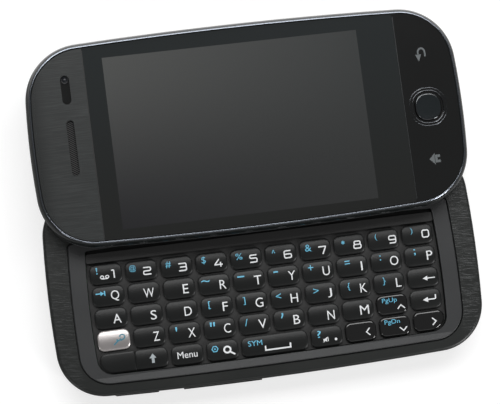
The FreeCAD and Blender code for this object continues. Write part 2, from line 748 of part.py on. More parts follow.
def usb_port():
    """The charging socket: a metal shell with a tongue inside."""
    y0, y1 = USB_FRONT, USB_FRONT + USB_DEPTH
    half = USB_WIDTH / 2
    z0, z1 = USB_Z - USB_HEIGHT / 2, USB_Z + USB_HEIGHT / 2
    shell = box(DOOR_X - half, DOOR_X + half, y0, y1, z0, z1)
    w = USB_WALL
    hollow = box(DOOR_X - half + w, DOOR_X + half - w, y0, y1 - w, z0 + w, z1 - w)
    tongue = box(
        DOOR_X - half + 2 * w,
        DOOR_X + half - 2 * w,
        y0 + USB_TONGUE_SET_BACK,
        y1 - w,
        USB_Z,
        USB_Z + USB_TONGUE,
    )
    return joined(shell.cut(hollow), tongue)


# --- Headset socket --------------------------------------------------------------------------
JACK_FACE_X = -BODY_LENGTH / 2 + circle_sag(LOWER_DEPTH / 2 - SIDE_BOW, END_BOW, JACK_Y)


def headset_jack():
    """The round headset socket: a collar flush with the end wall and a body behind it."""
    inner = JACK_FACE_X + CASE_WALL + FACE_CLEARANCE
    back = JACK_FACE_X + JACK_BORE_LENGTH + JACK_BACK_WALL
    collar = Part.makeCylinder(
        JACK_COLLAR_RADIUS,
        inner - JACK_FACE_X + 2 + JACK_COLLAR_OVERLAP,
        V(JACK_FACE_X - 2, JACK_Y, JACK_Z),
        V(1, 0, 0),
    )
    collar = collar.common(lower_envelope())
    half = JACK_BODY_WIDTH / 2
    z_half = JACK_BODY_HEIGHT / 2
    body = box(inner, back, JACK_Y - half, JACK_Y + half, JACK_Z - z_half, JACK_Z + z_half)
    bore = Part.makeCylinder(
        JACK_BORE_RADIUS, JACK_BORE_LENGTH + 2, V(JACK_FACE_X - 2, JACK_Y, JACK_Z), V(1, 0, 0)
    )
    return joined(body, collar).cut(bore)


def jack_seat():
    """Room in the case for the headset socket's body."""
    inner = JACK_FACE_X + CASE_WALL
    half = JACK_BODY_WIDTH / 2 + FACE_CLEARANCE
    low = JACK_Z - JACK_BODY_HEIGHT / 2 - FACE_CLEARANCE
    back = JACK_FACE_X + JACK_BORE_LENGTH + JACK_BACK_WALL + PART_CLEARANCE
    return box(inner, back, JACK_Y - half, JACK_Y + half, low, BOARD_BASE)


def jack_hole():
    """The round hole in the end wall for the headset socket's collar."""
    return Part.makeCylinder(
        JACK_COLLAR_RADIUS + JACK_COLLAR_FIT,
        CASE_WALL + 3,
        V(JACK_FACE_X - 2, JACK_Y, JACK_Z),
        V(1, 0, 0),
    )


# --- Rear case -------------------------------------------------------------------------------
BAY_X0 = BATTERY_X - BATTERY_LENGTH / 2 - BAY_CLEARANCE
BAY_X1 = BATTERY_X + BATTERY_LENGTH / 2 + BAY_CLEARANCE
BAY_Y = BATTERY_DEPTH / 2 + BAY_CLEARANCE


def cover_tool(width, clearance, top):
    """The room of the battery cover or of the channel it slides in: a plate with two tongues."""
    x0 = COVER_START_X - clearance
    x1 = BODY_LENGTH
    plate = box(x0, x1, -width, width, -1, top)
    t = width + TONGUE_WIDTH
    tongues = box(x0, x1, -t, t, top - TONGUE_HEIGHT - 2 * clearance, top)
    return joined(plate, tongues)


def door_pad(clearance, base):
    """The thick wall behind the door, or the room that it takes up."""
    return side_band(
        -CASE_WALL / 2,
        DOOR_THICKNESS + DOOR_PAD_DEPTH + clearance,
        DOOR_LEFT - DOOR_PAD_END - clearance,
        DOOR_RIGHT + DOOR_PAD_END + clearance,
        base,
        DECK_BASE,
        -1,
    )


def rear_case():
    """The lower shell, with the battery bay, the cover's channel and every seat and hole."""
    outer = lower_envelope().common(
        box(-BODY_LENGTH, BODY_LENGTH, -LOWER_DEPTH, LOWER_DEPTH, 0, DECK_BASE)
    )
    # The floor stays thick where the bottom edge is round.
    low_room = LOWER.prism(CASE_BOTTOM_ROUND + 0.2, CASE_FLOOR, CASE_BOTTOM_ROUND)
    high_room = LOWER.prism(CASE_WALL, CASE_BOTTOM_ROUND - CASE_WALL / 2, DECK_BASE)
    shell = outer.cut(joined(low_room, high_room))
    inside = LOWER.prism(CASE_WALL / 2, CASE_FLOOR / 2, DECK_BASE)
    rail_y = COVER_HALF_WIDTH + TONGUE_WIDTH + COVER_CLEARANCE + RAIL_WIDTH
    roof = CHANNEL_TOP + CHANNEL_ROOF
    rails = inside.common(
        box(COVER_START_X - RAIL_END, BODY_LENGTH, -rail_y, rail_y, CASE_FLOOR / 2, roof)
    )
    bay_wall = box(
        BAY_X0 - BAY_WALL,
        BAY_X1 + BAY_WALL,
        -BAY_Y - BAY_WALL,
        BAY_Y + BAY_WALL,
        CASE_FLOOR / 2,
        BOARD_BASE,
    )
    additions = [rails, bay_wall, rocker_cradle()]
    for x, y in SCREW_PLACES:
        additions.append(cylinder(x, y, CASE_FLOOR / 2, BOSS_TOP, BOSS_RADIUS))
    pad_radius = CAMERA_WINDOW_RADIUS + CAMERA_PAD_RIM
    additions.append(cylinder(CAMERA_X, CAMERA_Y, CASE_FLOOR / 2, CAMERA_PAD, pad_radius))
    additions.append(door_pad(0, CASE_FLOOR / 2))
    shell = joined(shell, *additions)
    bay = box(BAY_X0, BAY_X1, -BAY_Y, BAY_Y, 0, BOARD_BASE + 1)
    removals = [bay, cover_tool(COVER_HALF_WIDTH + COVER_CLEARANCE, COVER_CLEARANCE, CHANNEL_TOP)]
    for x, y in SCREW_PLACES:
        seat = screw_head_base(x) + SCREW_HEAD_HEIGHT
        removals.append(cylinder(x, y, -1, seat, SCREW_HEAD_RADIUS + SCREW_FIT))
        removals.append(cylinder(x, y, -1, BOSS_TOP + 1, SCREW_SHANK_RADIUS + SCREW_FIT))
    window_top = WINDOW_SET_BACK + CAMERA_WINDOW_THICKNESS + FACE_CLEARANCE
    removals.append(
        cylinder(CAMERA_X, CAMERA_Y, -1, window_top, CAMERA_WINDOW_RADIUS + PART_CLEARANCE)
    )
    removals.append(cylinder(CAMERA_X, CAMERA_Y, 0, CAMERA_PAD, CAMERA_LENS_RADIUS + PART_CLEARANCE))
    for index in range(GRILLE_SLOTS):
        x = SPEAKER_X + (index - (GRILLE_SLOTS - 1) / 2) * GRILLE_PITCH
        removals.append(round_slot(x, SPEAKER_Y, GRILLE_WIDTH, GRILLE_LENGTH, -1, CASE_FLOOR + 0.1))
    removals.append(side_key_slot(ROCKER_X, ROCKER_LENGTH, -1))
    removals.append(side_key_slot(CAMERA_KEY_X, CAMERA_KEY_LENGTH, 1))
    removals.append(side_key_slot(POWER_KEY_X, POWER_KEY_LENGTH, 1))
    removals.append(door_recess())
    port_half = USB_WIDTH / 2 + PART_CLEARANCE
    port_z = USB_HEIGHT / 2 + PART_CLEARANCE
    removals.append(
        box(
            DOOR_X - port_half,
            DOOR_X + port_half,
            side_y(DOOR_X, -1),
            USB_FRONT + USB_DEPTH + PART_CLEARANCE,
            USB_Z - port_z,
            USB_Z + port_z,
        )
    )
    removals.append(jack_hole())
    removals.append(jack_seat())
    shell = shell.cut(removals)
    return joined(shell, door_pin())


def screw_head_base(x):
    """Height of a screw head's outer face: under the cover on the right, in the back on the left."""
    return CHANNEL_TOP + FACE_CLEARANCE if x > 0 else LEFT_SCREW_SET_BACK


def battery_cover():
    """The sliding cover: the back's own form, cut to the channel, with grip ribs."""
    cover = lower_envelope().common(cover_tool(COVER_HALF_WIDTH, 0, COVER_THICKNESS))
    grooves = []
    for index in range(GRIP_RIBS):
        x = GRIP_X + index * GRIP_PITCH
        centre_x = x - GRIP_RADIUS
        ring = cylinder(centre_x, 0, -1, GRIP_DEPTH, GRIP_RADIUS + GRIP_GROOVE / 2)
        ring = ring.cut(cylinder(centre_x, 0, -1, GRIP_DEPTH, GRIP_RADIUS - GRIP_GROOVE / 2))
        half = GRIP_HALF_WIDTH
        grooves.append(ring.common(box(centre_x, BODY_LENGTH, -half, half, -1, GRIP_DEPTH)))
    return cover.cut(grooves)


def battery():
    """The battery pack with its three contact strips."""
    pack = round_bar(
        BATTERY_X,
        0,
        BATTERY_LENGTH,
        BATTERY_DEPTH,
        BATTERY_CORNER,
        BATTERY_BASE,
        BATTERY_BASE + BATTERY_HEIGHT,
    )
    strips = []
    x0 = BATTERY_X - BATTERY_LENGTH / 2
    z0 = BATTERY_BASE + CONTACT_LOW
    z1 = z0 + CONTACT_HEIGHT
    half = CONTACT_WIDTH / 2
    for index in range(3):
        y = (index - 1) * CONTACT_PITCH
        strips.append(box(x0 - CONTACT_PROUD, x0 + FACE_CLEARANCE, y - half, y + half, z0, z1))
    return joined(pack, *strips)


def case_screws():
    """Four identical screws that hold the two lower shells together."""
    screws = []
    for x, y in SCREW_PLACES:
        z0 = screw_head_base(x)
        head = cylinder(x, y, z0, z0 + SCREW_HEAD_HEIGHT, SCREW_HEAD_RADIUS)
        shank = cylinder(x, y, z0, z0 + SCREW_LENGTH, SCREW_SHANK_RADIUS)
        socket_top = z0 + SCREW_HEAD_HEIGHT * SCREW_SOCKET_SHARE
        socket = cylinder(x, y, z0 - 1, socket_top, SCREW_SOCKET_RADIUS)
        screws.append(joined(head, shank).cut(socket))
    return screws


# --- Top deck and keyboard -------------------------------------------------------------------
def top_deck():
    """The upper cover of the keyboard half, open where the keys and their mat stand."""
    deck = lower_envelope().common(
        box(-BODY_LENGTH, BODY_LENGTH, -LOWER_DEPTH, LOWER_DEPTH, DECK_BASE, LOWER_HEIGHT)
    )
    deck = deck.cut(LOWER.prism(CASE_WALL, DECK_BASE, DECK_PLATE_BASE))
    bosses = []
    for x, y in SCREW_PLACES:
        base = BOSS_TOP + FACE_CLEARANCE
        bosses.append(cylinder(x, y, base, DECK_PLATE_BASE + DECK_PLATE / 8, DECK_BOSS_RADIUS))
    deck = joined(deck, *bosses)
    removals = [
        FRAME_OUTER.prism(-FRAME_GAP, LOWER_HEIGHT - FRAME_HEIGHT, LOWER_HEIGHT + 1),
        FRAME_INNER.prism(0, DECK_BASE - 1, LOWER_HEIGHT + 1),
    ]
    for x, y in SCREW_PLACES:
        hole_top = screw_head_base(x) + SCREW_LENGTH + SCREW_TIP_ROOM
        removals.append(cylinder(x, y, 0, hole_top, SCREW_SHANK_RADIUS + SCREW_THREAD_FIT))
    for x, y in stud_places():
        stud_hole = STUD_RADIUS + STUD_FIT
        removals.append(cylinder(x, y, DECK_PLATE_BASE - 1, LOWER_HEIGHT + 1, stud_hole))
    removals.append(flex_slot(SLIDE_BASE_Y, DECK_BASE, LOWER_HEIGHT + 1))
    return deck.cut(removals)


def keypad_frame():
    """The grey frame that lies in the deck around the keyboard."""
    base = LOWER_HEIGHT - FRAME_HEIGHT
    frame = FRAME_OUTER.prism(0, base, LOWER_HEIGHT)
    top_edges = edges_at(frame, LOWER_HEIGHT)
    frame = frame.makeFillet(FRAME_ROUND, top_edges)
    return frame.cut(FRAME_INNER.prism(0, base - 1, LOWER_HEIGHT + 1))


def key_column_x(column):
    """The middle of a column of keys."""
    return (column - (KEY_COLUMNS - 1) / 2) * KEY_PITCH_X


def key_row_y(row, x):
    """The middle of a key in a row: the rows bend up a little towards both ends."""
    reach = (KEY_COLUMNS - 1) / 2 * KEY_PITCH_X
    return FIRST_ROW_Y - row * KEY_PITCH_Y + ROW_BOW * (x / reach) ** 2


def key_place(row, first, last):
    """Centre and width of a key that covers columns first to last of a row."""
    x = (key_column_x(first) + key_column_x(last)) / 2
    width = KEY_WIDTH + (last - first) * KEY_PITCH_X
    return x, key_row_y(row, x), width


# Every key: node, row, first column, last column.
LETTER_ROWS = [(1, 0, "qwertyuiop"), (2, 0, "asdfghjkl"), (3, 1, "zxcvbnm")]
KEYS = [("number_keys", 0, column, column) for column in range(KEY_COLUMNS)]
for letter_row, first_column, letters in LETTER_ROWS:
    for offset, letter in enumerate(letters):
        KEYS.append((f"key_{letter}", letter_row, first_column + offset, first_column + offset))
KEYS += [
    ("command_keys", 2, 9, 9),
    ("command_keys", 3, 0, 0),
    ("arrow_keys", 3, 8, 8),
    ("command_keys", 3, 9, 9),
    ("command_keys", 4, 0, 1),
    ("command_keys", 4, 2, 2),
    ("command_keys", 4, 3, 3),
    ("command_keys", 4, 4, 5),
    ("command_keys", 4, 6, 6),
    ("arrow_keys", 4, 7, 7),
    ("arrow_keys", 4, 8, 8),
    ("arrow_keys", 4, 9, 9),
]


def key_cap(row, first, last):
    """One key: its cap, and the stem that reaches through the mat to the dome."""
    x, y, width = key_place(row, first, last)
    radii = [KEY_CORNER] * 4
    last_row = row == KEY_ROWS - 1
    if last_row and first == 0:
        radii[0] = OUTER_KEY_CORNER
    if last_row and last == KEY_COLUMNS - 1:
        radii[1] = OUTER_KEY_CORNER
    cap = crowned_cap(x, y, width, KEY_DEPTH, radii, KEY_BASE, KEY_RIM, KEY_CROWN, KEY_BEVEL)
    half_x, half_y = KEY_STEM_WIDTH / 2, KEY_STEM_DEPTH / 2
    stem = box(x - half_x, x + half_x, y - half_y, y + half_y, STEM_BASE, KEY_BASE + KEY_RIM / 2)
    return joined(cap, stem)


def key_mat():
    """The dark mat under the keys, on a foot along its edge, with a hole for every stem."""
    plate = FRAME_INNER.prism(PART_CLEARANCE, MAT_BASE, MAT_TOP)
    foot = FRAME_INNER.prism(PART_CLEARANCE, BOARD_TOP, MAT_BASE)
    foot_inner = PART_CLEARANCE + MAT_FOOT_WIDTH
    foot = foot.cut(FRAME_INNER.prism(foot_inner, BOARD_TOP - 1, MAT_BASE + 1))
    ridge_y = RIDGE_LOW_Y + RIDGE_DEPTH / 2
    ridge_length = 2 * (FRAME_INNER_X - RIDGE_END_GAP)
    ridge = round_bar(
        0,
        ridge_y,
        ridge_length,
        RIDGE_DEPTH,
        RIDGE_DEPTH * 0.4,
        MAT_TOP - MAT_JOIN,
        MAT_TOP + RIDGE_HEIGHT,
    )
    ridge = ridge.common(FRAME_INNER.prism(PART_CLEARANCE, MAT_BASE, LOWER_HEIGHT))
    mat = joined(plate, foot, ridge)
    half_x = KEY_STEM_WIDTH / 2 + KEY_STEM_CLEARANCE
    half_y = KEY_STEM_DEPTH / 2 + KEY_STEM_CLEARANCE
    holes = []
    for _, row, first, last in KEYS:
        x, y, _ = key_place(row, first, last)
        holes.append(box(x - half_x, x + half_x, y - half_y, y + half_y, MAT_BASE - 1, MAT_TOP + 1))
    return mat.cut(holes)


def dome(x, y):
    """A metal dome that a key's stem presses: a cap of a sphere."""
    radius = (DOME_RADIUS**2 + DOME_HEIGHT**2) / (2 * DOME_HEIGHT)
    ball = Part.makeSphere(radius, V(x, y, DOME_TOP - radius))
    half = 2 * DOME_RADIUS
    return ball.common(box(x - half, x + half, y - half, y + half, BOARD_TOP, DOME_TOP + 1))


def main_board():
    """The circuit board, its key domes, side switches and shield cans."""
    board = LOWER.prism(BOARD_INSET, BOARD_BASE, BOARD_TOP)
    holes = []
    for x, y in SCREW_PLACES:
        holes.append(cylinder(x, y, 0, BOARD_TOP + 1, DECK_BOSS_RADIUS + 2 * PART_CLEARANCE))
    holes.append(door_pad(PART_CLEARANCE, 0))
    board = board.cut(holes)
    parts = [board]
    for _, row, first, last in KEYS:
        x, y, _ = key_place(row, first, last)
        parts.append(dome(x, y))
    for offset in (-ROCKER_SWITCH_OFFSET, ROCKER_SWITCH_OFFSET):
        parts.append(side_switch(ROCKER_X + offset, -1, ROCKER_FLANGE_GAP))
    parts.append(side_switch(CAMERA_KEY_X, 1, FACE_CLEARANCE))
    parts.append(side_switch(POWER_KEY_X, 1, FACE_CLEARANCE))
    can_right = BAY_X0 - BAY_WALL - SHIELD_FROM_BAY
    can_base = BOARD_BASE - SHIELD_HEIGHT
    for can_length, y0, y1 in SHIELD_CANS:
        parts.append(box(can_right - can_length, can_right, y0, y1, can_base, BOARD_BASE))
    return parts


# --- Small pieces in the lower half ------------------------------------------------------------
def camera_module():
    """The camera: a square body with its lens barrel pointing out of the back."""
    half = CAMERA_WIDTH / 2
    body = box(
        CAMERA_X - half, CAMERA_X + half, CAMERA_Y - half, CAMERA_Y + half, CAMERA_PAD, BOARD_BASE
    )
    tip = WINDOW_SET_BACK + CAMERA_WINDOW_THICKNESS + 3 * FACE_CLEARANCE
    barrel_top = CAMERA_PAD + CAMERA_BARREL_JOIN
    barrel = cylinder(CAMERA_X, CAMERA_Y, tip, barrel_top, CAMERA_LENS_RADIUS)
    lens_mouth = Part.makeCone(
        LENS_MOUTH_RADIUS,
        LENS_FLOOR_RADIUS,
        LENS_MOUTH_DEPTH,
        V(CAMERA_X, CAMERA_Y, tip),
        Z_AXIS,
    )
    return joined(body, barrel).cut(lens_mouth)


def camera_window():
    """The round window over the camera, set into the back."""
    top = WINDOW_SET_BACK + CAMERA_WINDOW_THICKNESS
    return cylinder(CAMERA_X, CAMERA_Y, WINDOW_SET_BACK, top, CAMERA_WINDOW_RADIUS)


def loudspeaker():
    """The loudspeaker behind the slots in the back, and the pad that presses it down."""
    z0 = CASE_FLOOR
    z1 = z0 + SPEAKER_HEIGHT
    body = round_bar(SPEAKER_X, SPEAKER_Y, SPEAKER_LENGTH, SPEAKER_DEPTH, SPEAKER_CORNER, z0, z1)
    pad = round_bar(
        SPEAKER_X,
        SPEAKER_Y,
        SPEAKER_LENGTH - 2 * SPEAKER_PAD_INSET,
        SPEAKER_DEPTH - 2 * SPEAKER_PAD_INSET,
        SPEAKER_PAD_CORNER,
        z1,
        BOARD_BASE,
    )
    return [body, pad]


def vibration_motor():
    """The vibration motor: a small barrel with an eccentric weight on its shaft."""
    z = BOARD_BASE - MOTOR_RADIUS - FACE_CLEARANCE
    y0 = -MOTOR_LENGTH / 2
    along = V(0, 1, 0)
    barrel = Part.makeCylinder(MOTOR_RADIUS, MOTOR_LENGTH, V(MOTOR_X, y0, z), along)
    shaft_length = WEIGHT_GAP + WEIGHT_LENGTH + SHAFT_END
    shaft = Part.makeCylinder(SHAFT_RADIUS, shaft_length, V(MOTOR_X, y0 + MOTOR_LENGTH, z), along)
    weight_y = y0 + MOTOR_LENGTH + WEIGHT_GAP
    weight = Part.makeCylinder(WEIGHT_RADIUS, WEIGHT_LENGTH, V(MOTOR_X, weight_y, z), along)
    upper_half = box(
        MOTOR_X - WEIGHT_RADIUS,
        MOTOR_X + WEIGHT_RADIUS,
        weight_y,
        weight_y + WEIGHT_LENGTH,
        z - WEIGHT_BELOW_SHAFT,
        z + WEIGHT_RADIUS,
    )
    return joined(barrel, shaft, weight.common(upper_half))


# --- Slide -------------------------------------------------------------------------------------
def stud_places():
    """Where the slide's base is riveted to the deck."""
    return [(sx * STUD_X, SLIDE_BASE_Y + sy * STUD_Y) for sx in (-1, 1) for sy in (-1, 1)]


def flex_slot(y, z0, z1):
    """A slot that the flat cable passes through."""
    return round_bar(0, y, FLEX_SLOT_WIDTH, FLEX_SLOT_DEPTH, FLEX_SLOT_DEPTH * 0.45, z0, z1)


def slide_base():
    """The steel plate on the deck: two raised wings run in the carriage's rails."""
    y0 = SLIDE_BASE_Y - SLIDE_BASE_DEPTH / 2
    y1 = SLIDE_BASE_Y + SLIDE_BASE_DEPTH / 2
    half = SLIDE_BASE_HALF_WIDTH
    plate = box(-half, half, y0, y1, LOWER_HEIGHT, LOWER_HEIGHT + SLIDE_PLATE)
    pieces = []
    for sign in (-1, 1):
        inner, outer = sign * (half - SLIDE_RISER), sign * half
        pieces.append(box(min(inner, outer), max(inner, outer), y0, y1, LOWER_HEIGHT, WING_TOP))
        tip = sign * SLIDE_WING_HALF_WIDTH
        pieces.append(box(min(inner, tip), max(inner, tip), y0, y1, WING_BASE, WING_TOP))
        post_x = sign * SPRING_BASE_X
        post_top = CARRIAGE_BASE - SLIDE_FIT
        pieces.append(cylinder(post_x, SLIDE_BASE_Y, LOWER_HEIGHT, post_top, SPRING_POST_RADIUS))
    for x, y in stud_places():
        pieces.append(cylinder(x, y, DECK_PLATE_BASE, LOWER_HEIGHT + 0.1, STUD_RADIUS))
    return joined(plate, *pieces).cut(flex_slot(SLIDE_BASE_Y, DECK_BASE, UPPER_BASE + 1))


def slide_carriage():
    """The steel plate on the display half: a C rail along each side and a stop at each end."""
    half = CARRIAGE_HALF_WIDTH
    y0, y1 = UPPER_Y - CARRIAGE_HALF_DEPTH, UPPER_Y + CARRIAGE_HALF_DEPTH
    plate = box(-half, half, y0, y1, CARRIAGE_BASE, CARRIAGE_TOP)
    lip_top = WING_BASE - SLIDE_FIT
    lip_base = lip_top - CARRIAGE_LIP
    pieces = []
    for sign in (-1, 1):
        web_in, web_out = sign * (half - CARRIAGE_WEB), sign * half
        pieces.append(box(min(web_in, web_out), max(web_in, web_out), y0, y1, lip_base, CARRIAGE_TOP))
        lip_in = sign * CARRIAGE_LIP_INNER
        pieces.append(box(min(lip_in, web_out), max(lip_in, web_out), y0, y1, lip_base, lip_top))
        post_x = sign * SPRING_CARRIAGE_X
        post_base = LOWER_HEIGHT + SLIDE_PLATE + SPRING_POST_GAP
        pieces.append(cylinder(post_x, UPPER_Y, post_base, CARRIAGE_TOP, SPRING_POST_RADIUS))
        for end in (-1, 1):
            stop_in = UPPER_Y + end * (CARRIAGE_HALF_DEPTH - CARRIAGE_STOP)
            stop_out = UPPER_Y + end * CARRIAGE_HALF_DEPTH
            pieces.append(
                box(
                    min(lip_in, web_out),
                    max(lip_in, web_out),
                    min(stop_in, stop_out),
                    max(stop_in, stop_out),
                    lip_base,
                    CARRIAGE_TOP,
                )
            )
    carriage = joined(plate, *pieces)
    return carriage.cut(flex_slot(UPPER_Y, UPPER_BASE, CARRIAGE_TOP + 1))


def wire_loop(x, y, z):
    """A ring of spring wire around a post."""
    radius = SPRING_POST_RADIUS + SPRING_WIRE / 2 + SPRING_POST_GAP
    return Part.makeTorus(radius, SPRING_WIRE / 2, V(x, y, z), Z_AXIS)


def wire_leg(start, end):
    """A straight piece of spring wire between two points."""
    return Part.makeCylinder(SPRING_WIRE / 2, (end - start).Length, start, end - start)


def assist_springs():
    """Two wire springs, each from a post on the base to a post on the carriage."""
    springs = []
    z = (LOWER_HEIGHT + SLIDE_PLATE + CARRIAGE_BASE) / 2
    loop_radius = SPRING_POST_RADIUS + SPRING_WIRE / 2 + SPRING_POST_GAP
    for sign in (-1, 1):
        base_post = V(sign * SPRING_BASE_X, SLIDE_BASE_Y, z)
        carriage_post = V(sign * SPRING_CARRIAGE_X, UPPER_Y, z)
        span = carriage_post - base_post
        half_span = span.Length / 2
        height = math.sqrt(SPRING_LEG**2 - half_span**2)
        outward = V(span.y, -span.x, 0) * (sign / span.Length)
        coil_centre = (base_post + carriage_post) * 0.5 + outward * height
        pieces = [Part.makeTorus(SPRING_COIL_RADIUS, SPRING_WIRE / 2, coil_centre, Z_AXIS)]
        for post in (base_post, carriage_post):
            towards = (coil_centre - post).normalize()
            start = post + towards * loop_radius
            end = coil_centre - towards * SPRING_COIL_RADIUS
            pieces.append(wire_leg(start, end))
            pieces.append(wire_loop(post.x, post.y, post.z))
        springs.append(joined(*pieces))
    return springs


def flex_cable():
    """The flat cable: up through the base, along between the halves, and up into the display."""
    t = FLEX_THICKNESS
    y0, y1 = SLIDE_BASE_Y, UPPER_Y
    z_low, z_high = FLEX_END_Z, DRIVER_BOARD_BASE - FACE_CLEARANCE
    z_run = (LOWER_HEIGHT + SLIDE_PLATE + CARRIAGE_BASE) / 2
    lower_leg = box(-FLEX_WIDTH / 2, FLEX_WIDTH / 2, y0 - t / 2, y0 + t / 2, z_low, z_run + t / 2)
    run = box(-FLEX_WIDTH / 2, FLEX_WIDTH / 2, y0 - t / 2, y1 + t / 2, z_run - t / 2, z_run + t / 2)
    upper_leg = box(-FLEX_WIDTH / 2, FLEX_WIDTH / 2, y1 - t / 2, y1 + t / 2, z_run - t / 2, z_high)
    ribbon = joined(run, lower_leg, upper_leg)
    folds = [
        edge
        for edge in ribbon.Edges
        if edge.BoundBox.XLength > FLEX_WIDTH / 2
        and min(abs(edge.BoundBox.YMin - y0), abs(edge.BoundBox.YMin - y1)) < t
        and abs(edge.BoundBox.ZMin - z_run) < t
    ]
    inner = [
        edge
        for edge in folds
        if (edge.BoundBox.YMin > y0 and edge.BoundBox.ZMin < z_run and edge.BoundBox.YMin < y1 - 1)
        or (edge.BoundBox.YMin < y1 and edge.BoundBox.ZMin > z_run and edge.BoundBox.YMin > y0 + 1)
    ]
    outer = [edge for edge in folds if not any(edge.isSame(other) for other in inner)]
    if inner and outer:
        ribbon = ribbon.makeFillet(t * 0.9, outer)
    return ribbon


# --- Display half --------------------------------------------------------------------------------
def display_back():
    """The shell of the display half, with the pocket for the slide's carriage underneath."""
    outer = UPPER.prism(0, UPPER_BASE, BEZEL_SEAT)
    outer = outer.makeFillet(BACK_BOTTOM_ROUND, edges_at(outer, UPPER_BASE))
    outer = outer.makeChamfer(BACK_TOP_CHAMFER, edges_at(outer, BEZEL_SEAT))
    floor_z = UPPER_BASE + BACK_PLATE
    shell = outer.cut(UPPER.prism(BACK_BOTTOM_ROUND + 0.2, floor_z, BEZEL_SEAT))
    shell = shell.cut(UPPER.prism(BACK_WALL, UPPER_BASE + BACK_BOTTOM_ROUND, BEZEL_SEAT + 1))
    pocket_x = CARRIAGE_HALF_WIDTH + PART_CLEARANCE
    pocket_y = CARRIAGE_HALF_DEPTH + PART_CLEARANCE
    pocket_top = CARRIAGE_TOP + FACE_CLEARANCE
    y0, y1 = UPPER_Y - pocket_y, UPPER_Y + pocket_y
    block = box(
        -pocket_x - POCKET_WALL,
        pocket_x + POCKET_WALL,
        y0 - POCKET_WALL,
        y1 + POCKET_WALL,
        UPPER_BASE,
        DRIVER_BOARD_BASE - FACE_CLEARANCE,
    )
    shell = joined(shell, block.common(outer))
    pocket = box(-pocket_x, pocket_x, y0, y1, UPPER_BASE - 1, pocket_top)
    shell = shell.cut([pocket, flex_slot(UPPER_Y, UPPER_BASE, BEZEL_SEAT)])
    return shell


def display_bezel():
    """The dark chrome ring: a lip inside the shell, a ledge under the panels, a rounded top."""
    ring = UPPER.prism(BEZEL_STEP, BEZEL_SEAT, TOTAL_HEIGHT)
    ring = ring.makeFillet(BEZEL_ROUND, edges_at(ring, TOTAL_HEIGHT))
    ring = ring.cut(UPPER.prism(BEZEL_WIDTH, BEZEL_SEAT - 1, TOTAL_HEIGHT + 1))
    ledge_top = PANEL_BASE - FACE_CLEARANCE
    ledge = UPPER.prism(BEZEL_WIDTH - 0.1, BEZEL_SEAT, ledge_top)
    ledge = ledge.cut(UPPER.prism(BEZEL_WIDTH + LEDGE_WIDTH, BEZEL_SEAT - 1, ledge_top + 1))
    lip_outer = BACK_WALL + FACE_CLEARANCE
    lip = UPPER.prism(lip_outer, BEZEL_SEAT - BEZEL_LIP_DROP, BEZEL_SEAT + 0.2)
    lip = lip.cut(UPPER.prism(lip_outer + BEZEL_LIP, BEZEL_SEAT - BEZEL_LIP_DROP - 1, BEZEL_SEAT + 1))
    return joined(ring, ledge, lip)


def front_panel(x0, x1):
    """The part of the front inside the bezel between two seams."""
    panel = UPPER.prism(BEZEL_WIDTH + PANEL_GAP, PANEL_BASE, PANEL_TOP)
    y0, y1 = UPPER_Y - UPPER_DEPTH, UPPER_Y + UPPER_DEPTH
    return panel.common(box(x0, x1, y0, y1, PANEL_BASE, PANEL_TOP))


def earpiece_panel():
    """The brushed panel, with a slot for the sensor and a slot for the earpiece."""
    panel = front_panel(-BODY_LENGTH, LEFT_SEAM_X - SEAM_GAP / 2)
    z0, z1 = PANEL_BASE - 1, PANEL_TOP + 1
    sensor_y = DISPLAY_Y + SENSOR_SLOT_Y
    sensor = round_slot(SENSOR_SLOT_X, sensor_y, SENSOR_SLOT_WIDTH, SENSOR_SLOT_LENGTH, z0, z1)
    ear = round_slot(EAR_SLOT_X, DISPLAY_Y, EAR_SLOT_WIDTH, EAR_SLOT_LENGTH, z0, z1)
    return panel.cut([sensor, ear])


def touch_window():
    """The touch glass between the two end panels."""
    return front_panel(LEFT_SEAM_X + SEAM_GAP / 2, RIGHT_SEAM_X - SEAM_GAP / 2)


RING_FLANGE_BASE = PANEL_BASE - RING_FLANGE_THICKNESS


def ok_bar(grow, z0, z1):
    """The OK button's outline, grown by a distance, between two heights."""
    return round_bar(
        OK_X,
        DISPLAY_Y + OK_Y,
        OK_WIDTH + 2 * grow,
        OK_DEPTH + 2 * grow,
        OK_CORNER + grow,
        z0,
        z1,
    )


def navigation_panel():
    """The gloss panel at the right, open for the OK button's ring."""
    panel = front_panel(RIGHT_SEAM_X + SEAM_GAP / 2, BODY_LENGTH)
    hole = ok_bar(OK_CLEARANCE + RING_WIDTH + FACE_CLEARANCE, PANEL_BASE - 1, PANEL_TOP + 1)
    return panel.cut(hole)


def navigation_ring():
    """The bright ring around the OK button, with a flange under the panel."""
    top = PANEL_TOP + RING_PROUD
    outer = OK_CLEARANCE + RING_WIDTH
    ring = ok_bar(outer, RING_FLANGE_BASE, top)
    ring = ring.makeFillet(RING_ROUND, edges_at(ring, top))
    flange = ok_bar(outer + RING_FLANGE_LIP, RING_FLANGE_BASE, PANEL_BASE)
    ring = joined(ring, flange)
    return ring.cut(ok_bar(OK_CLEARANCE, RING_FLANGE_BASE - 1, top + 1))


OK_FLANGE_TOP = RING_FLANGE_BASE - FACE_CLEARANCE
OK_FLANGE_BASE = OK_FLANGE_TOP - OK_FLANGE_THICKNESS


def ok_button():
    """The OK button: a crowned cap with a flange that keeps it under the ring."""
    cap_top = TOTAL_HEIGHT
    crown = cap_top - PANEL_BASE - OK_RIM
    cap = crowned_cap(
        OK_X,
        DISPLAY_Y + OK_Y,
        OK_WIDTH,
        OK_DEPTH,
        [OK_CORNER] * 4,
        PANEL_BASE,
        OK_RIM,
        crown,
        OK_BEVEL,
    )
    neck = ok_bar(0, OK_FLANGE_BASE, PANEL_BASE)
    flange = ok_bar(OK_FLANGE_LIP, OK_FLANGE_BASE, OK_FLANGE_TOP)
    return joined(cap, neck, flange)


